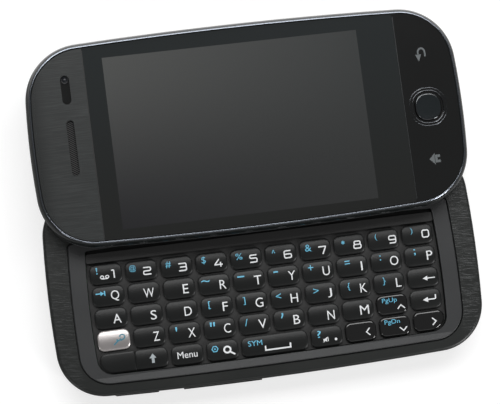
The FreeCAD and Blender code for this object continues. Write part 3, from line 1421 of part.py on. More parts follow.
def lcd_module():
    """The display panel, its driver board underneath, and the switch under the OK button."""
    lcd = box(
        DISPLAY_LEFT - LCD_BORDER_X,
        DISPLAY_RIGHT + LCD_BORDER_X,
        DISPLAY_Y - DISPLAY_DEPTH / 2 - LCD_BORDER_Y,
        DISPLAY_Y + DISPLAY_DEPTH / 2 + LCD_BORDER_Y,
        LCD_BASE,
        LCD_TOP,
    )
    board = UPPER.prism(DRIVER_BOARD_INSET, DRIVER_BOARD_BASE, LCD_BASE)
    switch_top = OK_FLANGE_BASE - OK_TRAVEL - FACE_CLEARANCE
    switch = cylinder(OK_X, DISPLAY_Y + OK_Y, LCD_BASE, switch_top, OK_SWITCH_RADIUS)
    return [lcd, board, switch]


def earpiece():
    """The sound capsule behind the earpiece slot, and the seal above it."""
    top = PANEL_BASE - FACE_CLEARANCE
    return round_bar(
        EAR_SLOT_X, DISPLAY_Y, EARPIECE_WIDTH, EARPIECE_LENGTH, EARPIECE_CORNER, LCD_BASE, top
    )


# --- Write every node ----------------------------------------------------------------------------
os.makedirs("parts", exist_ok=True)

save("rear_case", rear_case())
save("top_deck", top_deck())
save("keypad_frame", keypad_frame())
save("key_mat", key_mat())
save("main_board", *main_board())
save("battery", battery())
save("battery_cover", battery_cover())
save("camera_module", camera_module())
save("camera_window", camera_window())
save("loudspeaker", *loudspeaker())
save("vibration_motor", vibration_motor())
save("usb_port", usb_port())
save("usb_door", usb_door())
save("headset_jack", headset_jack())
save("volume_rocker", volume_rocker())
save("camera_key", side_key(CAMERA_KEY_X, CAMERA_KEY_LENGTH, 1, FACE_CLEARANCE))
save("power_key", side_key(POWER_KEY_X, POWER_KEY_LENGTH, 1, FACE_CLEARANCE))
save("case_screws", *case_screws())
save("slide_base", slide_base())
save("slide_carriage", slide_carriage())
save("assist_springs", *assist_springs())
save("flex_cable", flex_cable())
save("display_back", display_back())
save("display_bezel", display_bezel())
save("lcd_module", *lcd_module())
save("earpiece_panel", earpiece_panel())
save("earpiece", earpiece())
save("touch_window", touch_window())
save("navigation_panel", navigation_panel())
save("navigation_ring", navigation_ring())
save("ok_button", ok_button())

key_nodes = {}
for key_node, key_row, key_first, key_last in KEYS:
    key_nodes.setdefault(key_node, []).append(key_cap(key_row, key_first, key_last))
for key_node, caps in key_nodes.items():
    save(key_node, *caps)

print(f"volume key pivot: {ROCKER_X:.4f} {ROCKER_PIVOT_Y:.4f}")
print(f"door pivot: {DOOR_PIVOT_X:.4f} {DOOR_PIVOT_Y:.4f}")
print(f"headset socket mouth: {JACK_FACE_X:.4f} {JACK_Y:.4f} {JACK_Z:.4f}")
print(f"charging socket mouth: {DOOR_X:.4f} {USB_FRONT:.4f} {USB_Z:.4f}")
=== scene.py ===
"""Looks of the side-slider phone: finishes, moulded keys, lettering, chrome and the studio."""

import logging
import math
from dataclasses import dataclass, field, replace
from enum import Enum
from typing import Any, Mapping, Optional, Sequence, Union

import bpy
import numpy as np
from mathutils import Matrix, Vector

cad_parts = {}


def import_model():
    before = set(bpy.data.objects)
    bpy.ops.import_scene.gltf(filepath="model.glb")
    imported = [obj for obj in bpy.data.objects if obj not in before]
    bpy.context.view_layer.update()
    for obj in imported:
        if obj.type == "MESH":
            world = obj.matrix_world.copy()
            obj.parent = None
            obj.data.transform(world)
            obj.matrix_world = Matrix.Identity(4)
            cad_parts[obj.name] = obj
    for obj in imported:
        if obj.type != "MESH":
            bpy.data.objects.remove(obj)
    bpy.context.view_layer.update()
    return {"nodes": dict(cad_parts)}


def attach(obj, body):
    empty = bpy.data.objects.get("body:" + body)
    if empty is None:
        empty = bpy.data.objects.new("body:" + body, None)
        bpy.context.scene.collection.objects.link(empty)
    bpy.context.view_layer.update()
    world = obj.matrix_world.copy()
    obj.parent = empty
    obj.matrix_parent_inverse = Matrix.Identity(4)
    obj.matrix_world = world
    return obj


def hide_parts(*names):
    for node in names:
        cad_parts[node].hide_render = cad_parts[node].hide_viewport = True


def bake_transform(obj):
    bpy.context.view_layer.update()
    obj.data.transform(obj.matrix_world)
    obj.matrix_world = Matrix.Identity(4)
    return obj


MM = 0.001
LOG = logging.getLogger("slider_phone")

Colour = tuple[float, float, float]
Number = Union[float, "Value"]


def tone(red: float, green: Optional[float] = None, blue: Optional[float] = None) -> Colour:
    """Linear colour of an eight-bit display colour.

    Args:
        red: red level, or the grey level when it stands alone.
        green: green level.
        blue: blue level.

    Returns:
        The three linear channels.
    """
    levels = np.array([red, red if green is None else green, red if blue is None else blue]) / 255
    linear = np.where(levels <= 0.04045, levels / 12.92, ((levels + 0.055) / 1.055) ** 2.4)
    return tuple(float(channel) for channel in linear)


def scaled(colour: Colour, factor: float) -> Colour:
    """A linear colour made darker or lighter by a factor."""
    return tuple(channel * factor for channel in colour)


# --- Shader graphs -----------------------------------------------------------------------------
class Value:
    """One output socket of a shader graph, ready for Python arithmetic."""

    def __init__(self, graph: "Graph", socket: bpy.types.NodeSocket) -> None:
        """Keep the socket and the graph that it belongs to."""
        self.graph = graph
        self.socket = socket

    def maths(self, operation: str, *others: Number, swap: bool = False) -> "Value":
        """Add a Math node on this value.

        Args:
            operation: the Math node's operation.
            others: further operands, numbers or values.
            swap: put the first other operand in front.

        Returns:
            The node's result.
        """
        operands: list[Number] = [self, *others]
        if swap:
            operands[0], operands[1] = operands[1], operands[0]
        return self.graph.add("ShaderNodeMath", {"operation": operation}, dict(enumerate(operands)))

    def __add__(self, other: Number) -> "Value":
        """Sum."""
        return self.maths("ADD", other)

    __radd__ = __add__

    def __sub__(self, other: Number) -> "Value":
        """Difference."""
        return self.maths("SUBTRACT", other)

    def __rsub__(self, other: Number) -> "Value":
        """Difference with the operands swapped."""
        return self.maths("SUBTRACT", other, swap=True)

    def __mul__(self, other: Number) -> "Value":
        """Product."""
        return self.maths("MULTIPLY", other)

    __rmul__ = __mul__

    def __truediv__(self, other: Number) -> "Value":
        """Quotient."""
        return self.maths("DIVIDE", other)

    def __rtruediv__(self, other: Number) -> "Value":
        """Quotient with the operands swapped."""
        return self.maths("DIVIDE", other, swap=True)

    def __abs__(self) -> "Value":
        """Absolute value."""
        return self.maths("ABSOLUTE")

    def step(self, low: float, high: float) -> "Value":
        """Smooth rise from 0 at low to 1 at high.

        Args:
            low: where the rise starts; it may be above high for a fall.
            high: where the rise ends.

        Returns:
            A value between 0 and 1.
        """
        if low > high:
            return 1.0 - self.step(high, low)
        return self.graph.add(
            "ShaderNodeMapRange",
            {"interpolation_type": "SMOOTHSTEP"},
            {0: self, 1: low, 2: high, 3: 0.0, 4: 1.0},
        )


class Graph:
    """The node tree of one material, with a single way to add a node."""

    def __init__(self, name: str, owner: Optional[bpy.types.ID] = None) -> None:
        """Start an empty tree.

        Args:
            name: the material's name.
            owner: a world to dress instead of a new material.
        """
        self.owner = owner or bpy.data.materials.new(name)
        self.owner.use_nodes = True
        self.tree = self.owner.node_tree
        self.tree.nodes.clear()

    def add(
        self,
        kind: str,
        settings: Optional[Mapping[str, Any]] = None,
        values: Optional[Mapping[Union[str, int], Any]] = None,
        output: Union[str, int] = 0,
    ) -> Value:
        """Add a node: first its settings, then the values or links of its sockets.

        Args:
            kind: the node's type.
            settings: properties of the node.
            values: a number, colour or value for each input socket.
            output: the socket to hand back.

        Returns:
            The chosen output.
        """
        node = self.tree.nodes.new(kind)
        for name, setting in (settings or {}).items():
            setattr(node, name, setting)
        for name, value in (values or {}).items():
            socket = node.inputs[name]
            if isinstance(value, Value):
                self.tree.links.new(value.socket, socket)
            elif socket.type == "RGBA":
                socket.default_value = (*value, 1.0)
            else:
                socket.default_value = value
        return Value(self, node.outputs[output] if len(node.outputs) else None)

    def place(self, turn: float = 0.0, scale: Sequence[float] = (1.0, 1.0, 1.0)) -> Value:
        """Object coordinates in millimetres, turned about Z and stretched.

        Args:
            turn: turn in degrees.
            scale: factor on each axis, applied after the turn.

        Returns:
            The mapped coordinates.
        """
        raw = self.add("ShaderNodeTexCoord", output="Object")
        turned = self.add(
            "ShaderNodeMapping", {}, {"Vector": raw, "Rotation": (0.0, 0.0, math.radians(turn))}
        )
        factors = tuple(factor / MM for factor in scale)
        return self.add("ShaderNodeMapping", {}, {"Vector": turned, "Scale": factors})

    def split(self, vector: Value) -> tuple[Value, Value, Value]:
        """The three numbers of a vector."""
        node = self.add("ShaderNodeSeparateXYZ", {}, {0: vector}).socket.node
        return tuple(Value(self, output) for output in node.outputs)

    def axes(self) -> tuple[Value, Value, Value]:
        """X, Y and Z of the surface point, in millimetres."""
        return self.split(self.place())

    def noise(self, where: Value, scale: float, detail: float = 2.0) -> Value:
        """Noise between 0 and 1.

        Args:
            where: coordinates.
            scale: features per unit of the coordinates.
            detail: octaves.

        Returns:
            The noise value.
        """
        values = {"Vector": where, "Scale": scale, "Detail": detail}
        return self.add("ShaderNodeTexNoise", {}, values)

    def mix(self, share: Number, first: Union[Colour, Value], second: Union[Colour, Value]) -> Value:
        """Blend of two colours.

        Args:
            share: 0 for the first colour, 1 for the second.
            first: a colour.
            second: a colour.

        Returns:
            The blended colour.
        """
        return self.add("ShaderNodeMix", {"data_type": "RGBA"}, {0: share, 6: first, 7: second}, 2)

    def bump(self, height: Value, depth: float, below: Optional[Value] = None) -> Value:
        """A surface normal bent by a height.

        Args:
            height: a height between 0 and 1.
            depth: what a height of 1 stands for, in millimetres.
            below: a normal to build on.

        Returns:
            The bent normal.
        """
        values: dict[str, Any] = {"Height": height, "Strength": 1.0, "Distance": depth * MM}
        if below is not None:
            values["Normal"] = below
        return self.add("ShaderNodeBump", {}, values)

    def surface(self, values: Mapping[str, Any]) -> None:
        """Finish the material with a Principled shader that takes these values."""
        shader = self.add("ShaderNodeBsdfPrincipled", {}, values)
        self.add("ShaderNodeOutputMaterial", {}, {"Surface": shader})


# --- Finishes ----------------------------------------------------------------------------------
@dataclass(frozen=True)
class Finish:
    """What every finish has: a name, a colour and its gloss."""

    name: str
    colour: Colour
    roughness: float = 0.45
    metallic: float = 0.0
    coat: float = 0.0
    specular: float = 0.5
    coat_roughness: float = 0.04

    def material(self) -> bpy.types.Material:
        """The finish as a material, built once.

        Returns:
            The material.
        """
        label = "finish_" + self.name
        found = bpy.data.materials.get(label)
        if found is not None:
            return found
        graph = Graph(label)
        fixed = {
            "Metallic": self.metallic,
            "Coat Weight": self.coat,
            "Coat Roughness": self.coat_roughness,
            "Specular IOR Level": self.specular,
        }
        graph.surface({**fixed, **self.look(graph)})
        return graph.owner

    def look(self, graph: Graph) -> dict[str, Any]:
        """Values for the sockets that change over the surface."""
        raise NotImplementedError


@dataclass(frozen=True)
class Moulded(Finish):
    """Moulded plastic or rubber: a tone that a cloud varies by its share, and a fine even grain."""

    grain: float = 7.0
    grain_depth: float = 0.0035
    cloud: float = 0.14

    def look(self, graph: Graph) -> dict[str, Any]:
        """Tone and gloss drift with a slow cloud; the normal carries the grain.

        Args:
            graph: the material's graph.

        Returns:
            Socket values by name.
        """
        where = graph.place()
        cloud = graph.noise(where, scale=0.09, detail=3.0)
        grain = graph.noise(where, self.grain)
        dark = scaled(self.colour, 1 - self.cloud)
        light = scaled(self.colour, 1 + self.cloud)
        return {
            "Base Color": graph.mix(cloud * 0.8 + grain * 0.2, dark, light),
            "Roughness": self.roughness + (cloud - 0.5) * 0.12 + (grain - 0.5) * 0.08,
            "Normal": graph.bump(grain, self.grain_depth),
        }


class Region(Enum):
    """Where a brushed finish shows its lines."""

    WHOLE = "whole"
    ENDS = "ends"


@dataclass(frozen=True)
class Brushed(Finish):
    """Brushed metal or lacquer over it: lines of uneven length along one direction.

    Lines in the ends alone rise over a stretch of X on both sides, fainter at the left end than
    at the right: painted light, the right end's lines lit more strongly. With a rim, painted shade
    dims the lacquer from its outer X and clears up to its inner X.
    """

    line: Colour = (0.1, 0.1, 0.1)
    along: float = 0.16
    across: float = 5.0
    turn: float = 0.0
    waviness: float = 0.0
    fine_scale: float = 2.7
    fine_share: float = 0.35
    line_edge: float = 0.44
    line_rise: float = 0.22
    line_depth: float = 0.004
    region: Region = Region.WHOLE
    ends: tuple[float, float] = (47.2, 49.2)
    # painted light: the ends' lines are stronger at the right end than at the left
    left_strength: float = 0.62
    right_painted_light_gain: float = 0.5
    middle: float = 20.0
    # painted shade: with a rim, the colour darkens towards the outer X
    rim: Optional[tuple[float, float]] = None
    painted_rim_shade_tone: float = 0.5
    painted_rim_shade_clear: float = 0.25
    dark_tone: float = 0.9

    def look(self, graph: Graph) -> dict[str, Any]:
        """Stretched noise makes the lines; a second, finer one breaks them up.

        Args:
            graph: the material's graph.

        Returns:
            Socket values by name.
        """
        where = graph.place(self.turn, (self.along, self.across, self.across))
        if self.waviness:
            sway = graph.noise(graph.place(), scale=0.11)
            shift = graph.add("ShaderNodeCombineXYZ", {}, {1: (sway - 0.5) * self.waviness})
            where = graph.add("ShaderNodeVectorMath", {"operation": "ADD"}, {0: where, 1: shift})
        coarse = graph.noise(where, scale=1.0, detail=3.0)
        fine = graph.noise(where, scale=self.fine_scale)
        both = coarse * (1 - self.fine_share) + fine * self.fine_share
        lines = both.step(self.line_edge, self.line_edge + self.line_rise)
        if self.region is Region.ENDS:
            x = graph.axes()[0]
            # painted light: the lines grow stronger from the left end to the right
            strength = self.left_strength + self.right_painted_light_gain * x.step(-self.middle, self.middle)
            lines = lines * abs(x).step(*self.ends) * strength
        cloud = graph.noise(graph.place(), scale=0.07)
        lacquer = graph.mix(cloud, scaled(self.colour, self.dark_tone), self.colour)
        colour = graph.mix(lines, lacquer, self.line)
        # painted shade: the lacquer darkens towards the rim's outer X
        if self.rim:
            clear = self.painted_rim_shade_clear + (1 - self.painted_rim_shade_clear) * graph.axes()[0].step(*self.rim)
            colour = graph.mix(clear, scaled(self.colour, self.painted_rim_shade_tone), colour)
        return {
            "Base Color": colour,
            "Roughness": self.roughness + (fine - 0.5) * 0.16 + (cloud - 0.5) * 0.1,
            "Normal": graph.bump(lines, self.line_depth),
        }


@dataclass(frozen=True)
class Weave(Moulded):
    """Fine mesh: pale threads slant across dark holes."""

    thread: Colour = tone(66, 66, 66)
    pitch: float = 0.55

    def look(self, graph: Graph) -> dict[str, Any]:
        """A sine along a slanted line gives the threads.

        Args:
            graph: the material's graph.

        Returns:
            Socket values by name.
        """
        x, y, _ = graph.axes()
        threads = ((x * 0.7 + y) * (2 * math.pi / self.pitch)).maths("SINE").step(-0.3, 0.8)
        values = super().look(graph)
        return {**values, "Base Color": graph.mix(threads, values["Base Color"], self.thread)}


@dataclass(frozen=True)
class Basin(Moulded):
    """Moulded plastic that falls gently towards a recess: past its side's X and its low Y."""

    side: float = 44.75
    low: float = -21.45
    fall: float = 0.14
    end_share: float = 0.2

    def look(self, graph: Graph) -> dict[str, Any]:
        """The way outwards from the recess, times the fall, bends the grain's normal.

        Args:
            graph: the material's graph.

        Returns:
            Socket values by name.
        """
        sockets = super().look(graph)
        x, y, _ = graph.axes()
        ends = (abs(x) - self.side).maths("MAXIMUM", 0.0)
        front = (self.low - y).maths("MAXIMUM", 0.0)
        rise = ends * (self.fall * self.end_share) + front * self.fall
        return {**sockets, "Normal": graph.bump(rise, 1.0, sockets["Normal"])}


@dataclass(frozen=True)
class Lacquer(Finish):
    """High-gloss plastic: a clear coat with a faint orange peel and a little haze."""

    peel: float = 0.00035
    haze: float = 0.05
    light_tone: float = 1.25

    def look(self, graph: Graph) -> dict[str, Any]:
        """Slow noise drives haze and tone; a finer one bends the coat.

        Args:
            graph: the material's graph.

        Returns:
            Socket values by name.
        """
        where = graph.place()
        cloud = graph.noise(where, scale=0.06, detail=3.0)
        peel = graph.noise(where, scale=0.9)
        return {
            "Base Color": graph.mix(cloud, self.colour, scaled(self.colour, self.light_tone)),
            "Roughness": self.roughness + cloud * self.haze,
            "Normal": graph.bump(peel, self.peel),
        }


@dataclass(frozen=True)
class Metal(Finish):
    """Bare or plated metal with fine polishing marks."""

    metallic: float = 1.0
    marks: float = 0.06
    mark_depth: float = 0.0004
    mark_stretch: tuple[float, float, float] = (0.25, 6.0, 6.0)
    dark_tone: float = 0.86

    def look(self, graph: Graph) -> dict[str, Any]:
        """Noise drawn out along X makes the marks; a cloud drifts the tone.

        Args:
            graph: the material's graph.

        Returns:
            Socket values by name.
        """
        marks = graph.noise(graph.place(0.0, self.mark_stretch), scale=1.0, detail=3.0)
        cloud = graph.noise(graph.place(), scale=0.15)
        return {
            "Base Color": graph.mix(cloud, scaled(self.colour, self.dark_tone), self.colour),
            "Roughness": self.roughness + marks * self.marks,
            "Normal": graph.bump(marks, self.mark_depth),
        }


@dataclass(frozen=True)
class ScreenGlass(Finish):
    """Touch glass: a black painted border around the grey of a display that is off.

    The display reaches from its low corner to its high corner, and its four tones stand for the
    low left, low right, high left and high right: a painted reflection, lightest at the high left.
    The border grows lighter towards its far side, also a painted reflection.
    """

    low: tuple[float, float] = (-34.28, 14.08)
    high: tuple[float, float] = (29.62, 56.68)
    # painted reflection: the border is lighter towards its far, high side
    border_painted_reflection: Colour = tone(31, 35, 36)
    # painted reflection: the display's corner tones stand for light mirrored in the glass
    corners: tuple[Colour, Colour, Colour, Colour] = (
        tone(29, 29, 32),
        tone(44, 45, 45),
        tone(79, 80, 79),
        tone(58, 60, 60),
    )
    edge: float = 0.05
    drift: tuple[float, float] = (-0.15, 1.1)
    haze: float = 0.06
    dots: float = 5.0
    dot_strength: float = 0.12
    ripple: float = 0.0002

    def look(self, graph: Graph) -> dict[str, Any]:
        """The display's painted reflection runs smoothly between its four corner tones; outside it lies
        the border, its painted reflection lighter further up.

        Args:
            graph: the material's graph.

        Returns:
            Socket values by name.
        """
        x, y, _ = graph.axes()
        edge = self.edge
        inside = (
            x.step(self.low[0] - edge, self.low[0] + edge)
            * x.step(self.high[0] + edge, self.high[0] - edge)
            * y.step(self.low[1] - edge, self.low[1] + edge)
            * y.step(self.high[1] + edge, self.high[1] - edge)
        )
        # painted reflection: the display's tone runs between the four corner tones
        u = (x - self.low[0]) / (self.high[0] - self.low[0])
        v = ((y - self.low[1]) / (self.high[1] - self.low[1])).step(*self.drift)
        low_painted_reflection = graph.mix(u, self.corners[0], self.corners[1])
        high_painted_reflection = graph.mix(u, self.corners[2], self.corners[3])
        panel = graph.mix(v, low_painted_reflection, high_painted_reflection)
        dot = graph.add("ShaderNodeTexVoronoi", {}, {"Vector": graph.place(), "Scale": self.dots})
        panel = graph.mix(dot * self.dot_strength, panel, (0.0, 0.0, 0.0))
        cloud = graph.noise(graph.place(), scale=0.05)
        return {
            # painted reflection: the border lightens upwards
            "Base Color": graph.mix(inside, graph.mix(v, self.colour, self.border_painted_reflection), panel),
            "Roughness": self.roughness + cloud * self.haze,
            "Normal": graph.bump(graph.noise(graph.place(), scale=0.4), self.ripple),
        }


@dataclass(frozen=True)
class BoardResist(Finish):
    """Solder resist over copper traces."""

    trace: Colour = tone(60, 110, 70)
    trace_depth: float = 0.02

    def look(self, graph: Graph) -> dict[str, Any]:
        """Two crossed sets of bands, broken up by noise, stand for the traces.

        Args:
            graph: the material's graph.

        Returns:
            Socket values by name.
        """
        where = graph.place()
        wander = graph.noise(where, scale=0.35)
        x, y, _ = graph.axes()
        along_x = (y * 1.9 + wander * 5.0).maths("SINE")
        along_y = (x * 1.6 + wander * 4.0).maths("SINE")
        traces = along_x.step(0.75, 0.9).maths("MAXIMUM", along_y.step(0.8, 0.92))
        return {
            "Base Color": graph.mix(traces, self.colour, self.trace),
            "Roughness": self.roughness - traces * 0.12,
            "Normal": graph.bump(traces, self.trace_depth),
        }


@dataclass(frozen=True)
class CableFilm(Finish):
    """Amber film with copper tracks that run along the cable."""

    track: Colour = tone(176, 96, 40)
    track_depth: float = 0.01
    waves: float = 12.0

    def look(self, graph: Graph) -> dict[str, Any]:
        """A sine across the cable gives the tracks.

        Args:
            graph: the material's graph.

        Returns:
            Socket values by name.
        """
        x, _, _ = graph.axes()
        tracks = (x * self.waves).maths("SINE").step(0.1, 0.5)
        return {
            "Base Color": graph.mix(tracks, self.colour, self.track),
            "Roughness": self.roughness - tracks * 0.1,
            "Normal": graph.bump(tracks, self.track_depth),
        }


@dataclass(frozen=True)
class Ink(Finish):
    """Printed lettering: an even colour with slightly uneven cover."""

    thin_tone: float = 0.86
    cover_depth: float = 0.001

    def look(self, graph: Graph) -> dict[str, Any]:
        """Fine noise thins the ink a little.

        Args:
            graph: the material's graph.

        Returns:
            Socket values by name.
        """
        cover = graph.noise(graph.place(), scale=3.5)
        return {
            "Base Color": graph.mix(cover, scaled(self.colour, self.thin_tone), self.colour),
            "Roughness": self.roughness + cover * 0.1,
            "Normal": graph.bump(cover, self.cover_depth),
        }


SHELL = Moulded("case_shell", tone(38, 40, 39), 0.42, coat=0.05, grain=5.0)
DECK = Brushed(
    "deck_lacquer",
    tone(30, 32, 31),
    0.36,
    line=tone(56, 58, 58),
    along=0.3,
    across=3.2,
    turn=6.0,
    waviness=1.6,
    line_edge=0.47,
    line_depth=0.02,
    # the ends' lines carry painted light, stronger at the right end
    region=Region.ENDS,
)
FRAME_GREY = Basin("keypad_frame", tone(50, 51, 52), 0.4, grain=9.0, cloud=0.06)
MAT = Moulded("key_mat", tone(35, 35, 35), 0.62, grain=6.0, cloud=0.1)
KEY_SATIN = Moulded("key_satin", tone(26, 27, 27), 0.36, specular=0.26, grain=11.0, cloud=0.05)
KEY_GLOSS = Lacquer("key_gloss", tone(20, 20, 20), 0.1, coat=0.8, specular=0.4)
KEY_SILVER = Moulded("key_silver", tone(190, 185, 184), 0.38, metallic=0.85, grain=9.0, cloud=0.05)
UPPER_SHELL = Lacquer("upper_shell", tone(58, 59, 61), 0.14, coat=0.6)
BEZEL_GLOSS = Lacquer("bezel_gloss", tone(22, 25, 25), 0.09, specular=0.46, peel=0.0001)
TRIM_LINE = Metal("trim_line", tone(140, 145, 153), 0.16, marks=0.02, mark_depth=0.0)
PANEL_BRUSHED = Brushed(
    "earpiece_panel",
    tone(45, 47, 47),
    0.4,
    specular=0.22,
    line=tone(58, 60, 60),
    along=0.12,
    across=6.0,
    line_depth=0.003,
    # painted shade towards the left rim beside the bezel
    rim=(-53.0, -48.4),
)
PANEL_GLOSS = Lacquer("gloss_panel", tone(10, 11, 11), 0.07, coat=1.0)
# touch glass whose display and border carry painted reflection
GLASS = ScreenGlass("touch_glass", tone(25, 26, 25), 0.05, coat=1.0)
SIDE_KEY = Moulded("side_key", tone(34, 35, 35), 0.3, coat=0.3, grain=8.0)
STEEL = Metal("steel", tone(176, 178, 180), 0.3, marks=0.15)
SCREW_STEEL = Metal("screw_steel", tone(70, 70, 72), 0.32, marks=0.12)
BOARD = BoardResist("circuit_board", tone(22, 62, 40), 0.4)
PACK = Moulded("battery_wrap", tone(46, 48, 54), 0.4, grain=3.0)
MODULE = Moulded("module_black", tone(20, 20, 21), 0.5, grain=8.0)
WINDOW = Lacquer("camera_window", tone(8, 8, 10), 0.04, coat=1.0)
CABLE = CableFilm("flat_cable", tone(110, 62, 20), 0.35)
MESH_CLOTH = Weave("speaker_cloth", tone(16, 16, 17), 0.7, specular=0.15, grain=6.0)
LENS = Lacquer("sensor_lens", tone(24, 26, 30), 0.25, specular=0.4)
WHITE_INK = Ink("white_ink", tone(234, 236, 238), 0.45)
BLUE_INK = Ink("blue_ink", tone(104, 190, 222), 0.45)
BUTTON_GLOSS = Lacquer("button_gloss", tone(25, 29, 31), 0.12, specular=0.4)
RING_CHROME = Metal("dark_chrome", tone(92, 94, 97), 0.14)
RIM_CHROME = Metal("rim_chrome", tone(104, 106, 108), 0.14)
SEAM_DARK = Ink("seam_dark", tone(14, 15, 15), 0.5)
# painted highlight: a lighter strip for the panel's edge catching light
SEAM_PAINTED_HIGHLIGHT = Ink("seam_painted_highlight", tone(30, 33, 34), 0.3)
DEEP_INK = Ink("deep_ink", tone(62, 128, 150), 0.45)
GREY_INK = Ink("grey_ink", tone(92, 97, 99), 0.5)
SHIFT_INK = Ink("shift_ink", tone(168, 176, 180), 0.45)

NODE_FINISHES: tuple[tuple[Finish, tuple[str, ...]], ...] = (
    (SHELL, ("rear_case", "battery_cover")),
    (DECK, ("top_deck",)),
    (FRAME_GREY, ("keypad_frame",)),
    (MAT, ("key_mat",)),
    (BOARD, ("main_board",)),
    (PACK, ("battery",)),
    (MODULE, ("camera_module", "loudspeaker", "headset_jack", "lcd_module", "earpiece")),
    (WINDOW, ("camera_window",)),
    (STEEL, ("vibration_motor", "usb_port", "slide_base", "slide_carriage")),
    (SCREW_STEEL, ("case_screws",)),
    (UPPER_SHELL, ("display_back",)),
    (GLASS, ("touch_window",)),
    (PANEL_BRUSHED, ("earpiece_panel",)),
    (PANEL_GLOSS, ("navigation_panel",)),
    (SIDE_KEY, ("usb_door", "volume_rocker", "camera_key", "power_key")),
)


# --- Surfaces ----------------------------------------------------------------------------------
@dataclass
class Shape:
    """Points in millimetres and faces, each set of faces with its own finish number."""

    points: np.ndarray
    faces: list[tuple[int, np.ndarray]] = field(default_factory=list)

    def with_shape(self, other: "Shape") -> "Shape":
        """This shape and another one side by side, as one.

        Args:
            other: the shape to add.

        Returns:
            Both as one shape.
        """
        shift = len(self.points)
        moved = [(number, faces + shift) for number, faces in other.faces]
        return Shape(np.vstack([self.points, other.points]), self.faces + moved)

    def painted(self, number: int) -> "Shape":
        """The same shape with every face in one finish number."""
        return Shape(self.points, [(number, faces) for _, faces in self.faces])

    def piece(
        self, name: str, finishes: Sequence[Finish], crease: float = 40.0
    ) -> bpy.types.Object:
        """Make a mesh object of the shape.

        Args:
            name: the piece's name.
            finishes: its finishes, in the order of the finish numbers.
            crease: angle in degrees above which an edge stays sharp.

        Returns:
            The object, linked to the scene.
        """
        mesh = bpy.data.meshes.new(name)
        faces = [face for _, group in self.faces for face in group.tolist()]
        mesh.from_pydata((self.points * MM).tolist(), [], faces)
        numbers = np.concatenate([np.full(len(group), number) for number, group in self.faces])
        for finish in finishes:
            mesh.materials.append(finish.material())
        mesh.polygons.foreach_set("material_index", numbers.astype(np.int32))
        mesh.update()
        mesh.shade_smooth()
        mesh.set_sharp_from_angle(angle=math.radians(crease))
        piece = bpy.data.objects.new(name, mesh)
        bpy.context.scene.collection.objects.link(piece)
        return piece


def joined(shapes: Sequence[Shape]) -> Shape:
    """Several shapes as one.

    Args:
        shapes: at least one shape.

    Returns:
        One shape with all their faces.
    """
    result = shapes[0]
    for shape in shapes[1:]:
        result = result.with_shape(shape)
    return result


def directions(angle: np.ndarray) -> np.ndarray:
    """Flat unit vectors at angles in radians."""
    return np.stack([np.cos(angle), np.sin(angle)], axis=-1)


def fan_faces(ring: np.ndarray, following: np.ndarray, middle: int) -> np.ndarray:
    """Triangles from each point of a ring to the one that follows and to a middle point."""
    return np.stack([ring, following, np.full(len(ring), middle)], axis=-1)


def loft(
    rings: np.ndarray, start_pole: bool = False, end_pole: bool = False, wrap: bool = False
) -> Shape:
    """Skin over closed rings.

    Each ring is a loop of the same number of points. Quads join neighbouring rings, a pole closes
    the first or last ring with a fan to its middle, and wrap joins the last ring to the first.

    Args:
        rings: array of rings by points by three.
        start_pole: close the first ring.
        end_pole: close the last ring.
        wrap: join the last ring to the first.

    Returns:
        The skin.
    """
    count, size, _ = rings.shape
    total = count * size
    ring = np.arange(size)
    following = (ring + 1) % size
    row = np.arange(count if wrap else count - 1)[:, None] * size
    above = (row + size) % total
    quads = np.stack([row + ring, row + following, above + following, above + ring], axis=-1)
    points = [rings.reshape(-1, 3)]
    faces = [(0, quads.reshape(-1, 4))]
    if start_pole:
        points.append(rings[0].mean(axis=0)[None])
        faces.append((0, fan_faces(following, ring, total)))
        total += 1
    if end_pole:
        points.append(rings[-1].mean(axis=0)[None])
        last = (count - 1) * size
        faces.append((0, fan_faces(last + ring, last + following, total)))
    return Shape(np.vstack(points), faces)


def sheet(x: np.ndarray, y: np.ndarray, z: np.ndarray) -> Shape:
    """A surface over a grid of points: a quad joins each point to its neighbours.

    Args:
        x: grid of X, row by row.
        y: grid of Y, growing from row to row, so that the sheet faces up.
        z: grid of heights.

    Returns:
        The open surface.
    """
    rows, columns = x.shape
    corner = np.arange(rows - 1)[:, None] * columns + np.arange(columns - 1)
    quads = np.stack([corner, corner + 1, corner + columns + 1, corner + columns], axis=-1)
    points = np.stack([x, y, z], axis=-1)
    return Shape(points.reshape(-1, 3), [(0, quads.reshape(-1, 4))])


def filled(outline: np.ndarray) -> Shape:
    """A convex outline filled by a fan about its middle, always facing up.

    Args:
        outline: array of points by two.

    Returns:
        The flat fan.
    """
    following = np.roll(outline, -1, axis=0)
    area = (outline[:, 0] * following[:, 1] - following[:, 0] * outline[:, 1]).sum()
    if area < 0:
        outline = outline[::-1]
    count = len(outline)
    flat = np.vstack([outline, outline.mean(axis=0)[None]])
    points = np.concatenate([flat, np.zeros((count + 1, 1))], axis=1)
    ring = np.arange(count)
    return Shape(points, [(0, fan_faces(ring, (ring + 1) % count, count))])


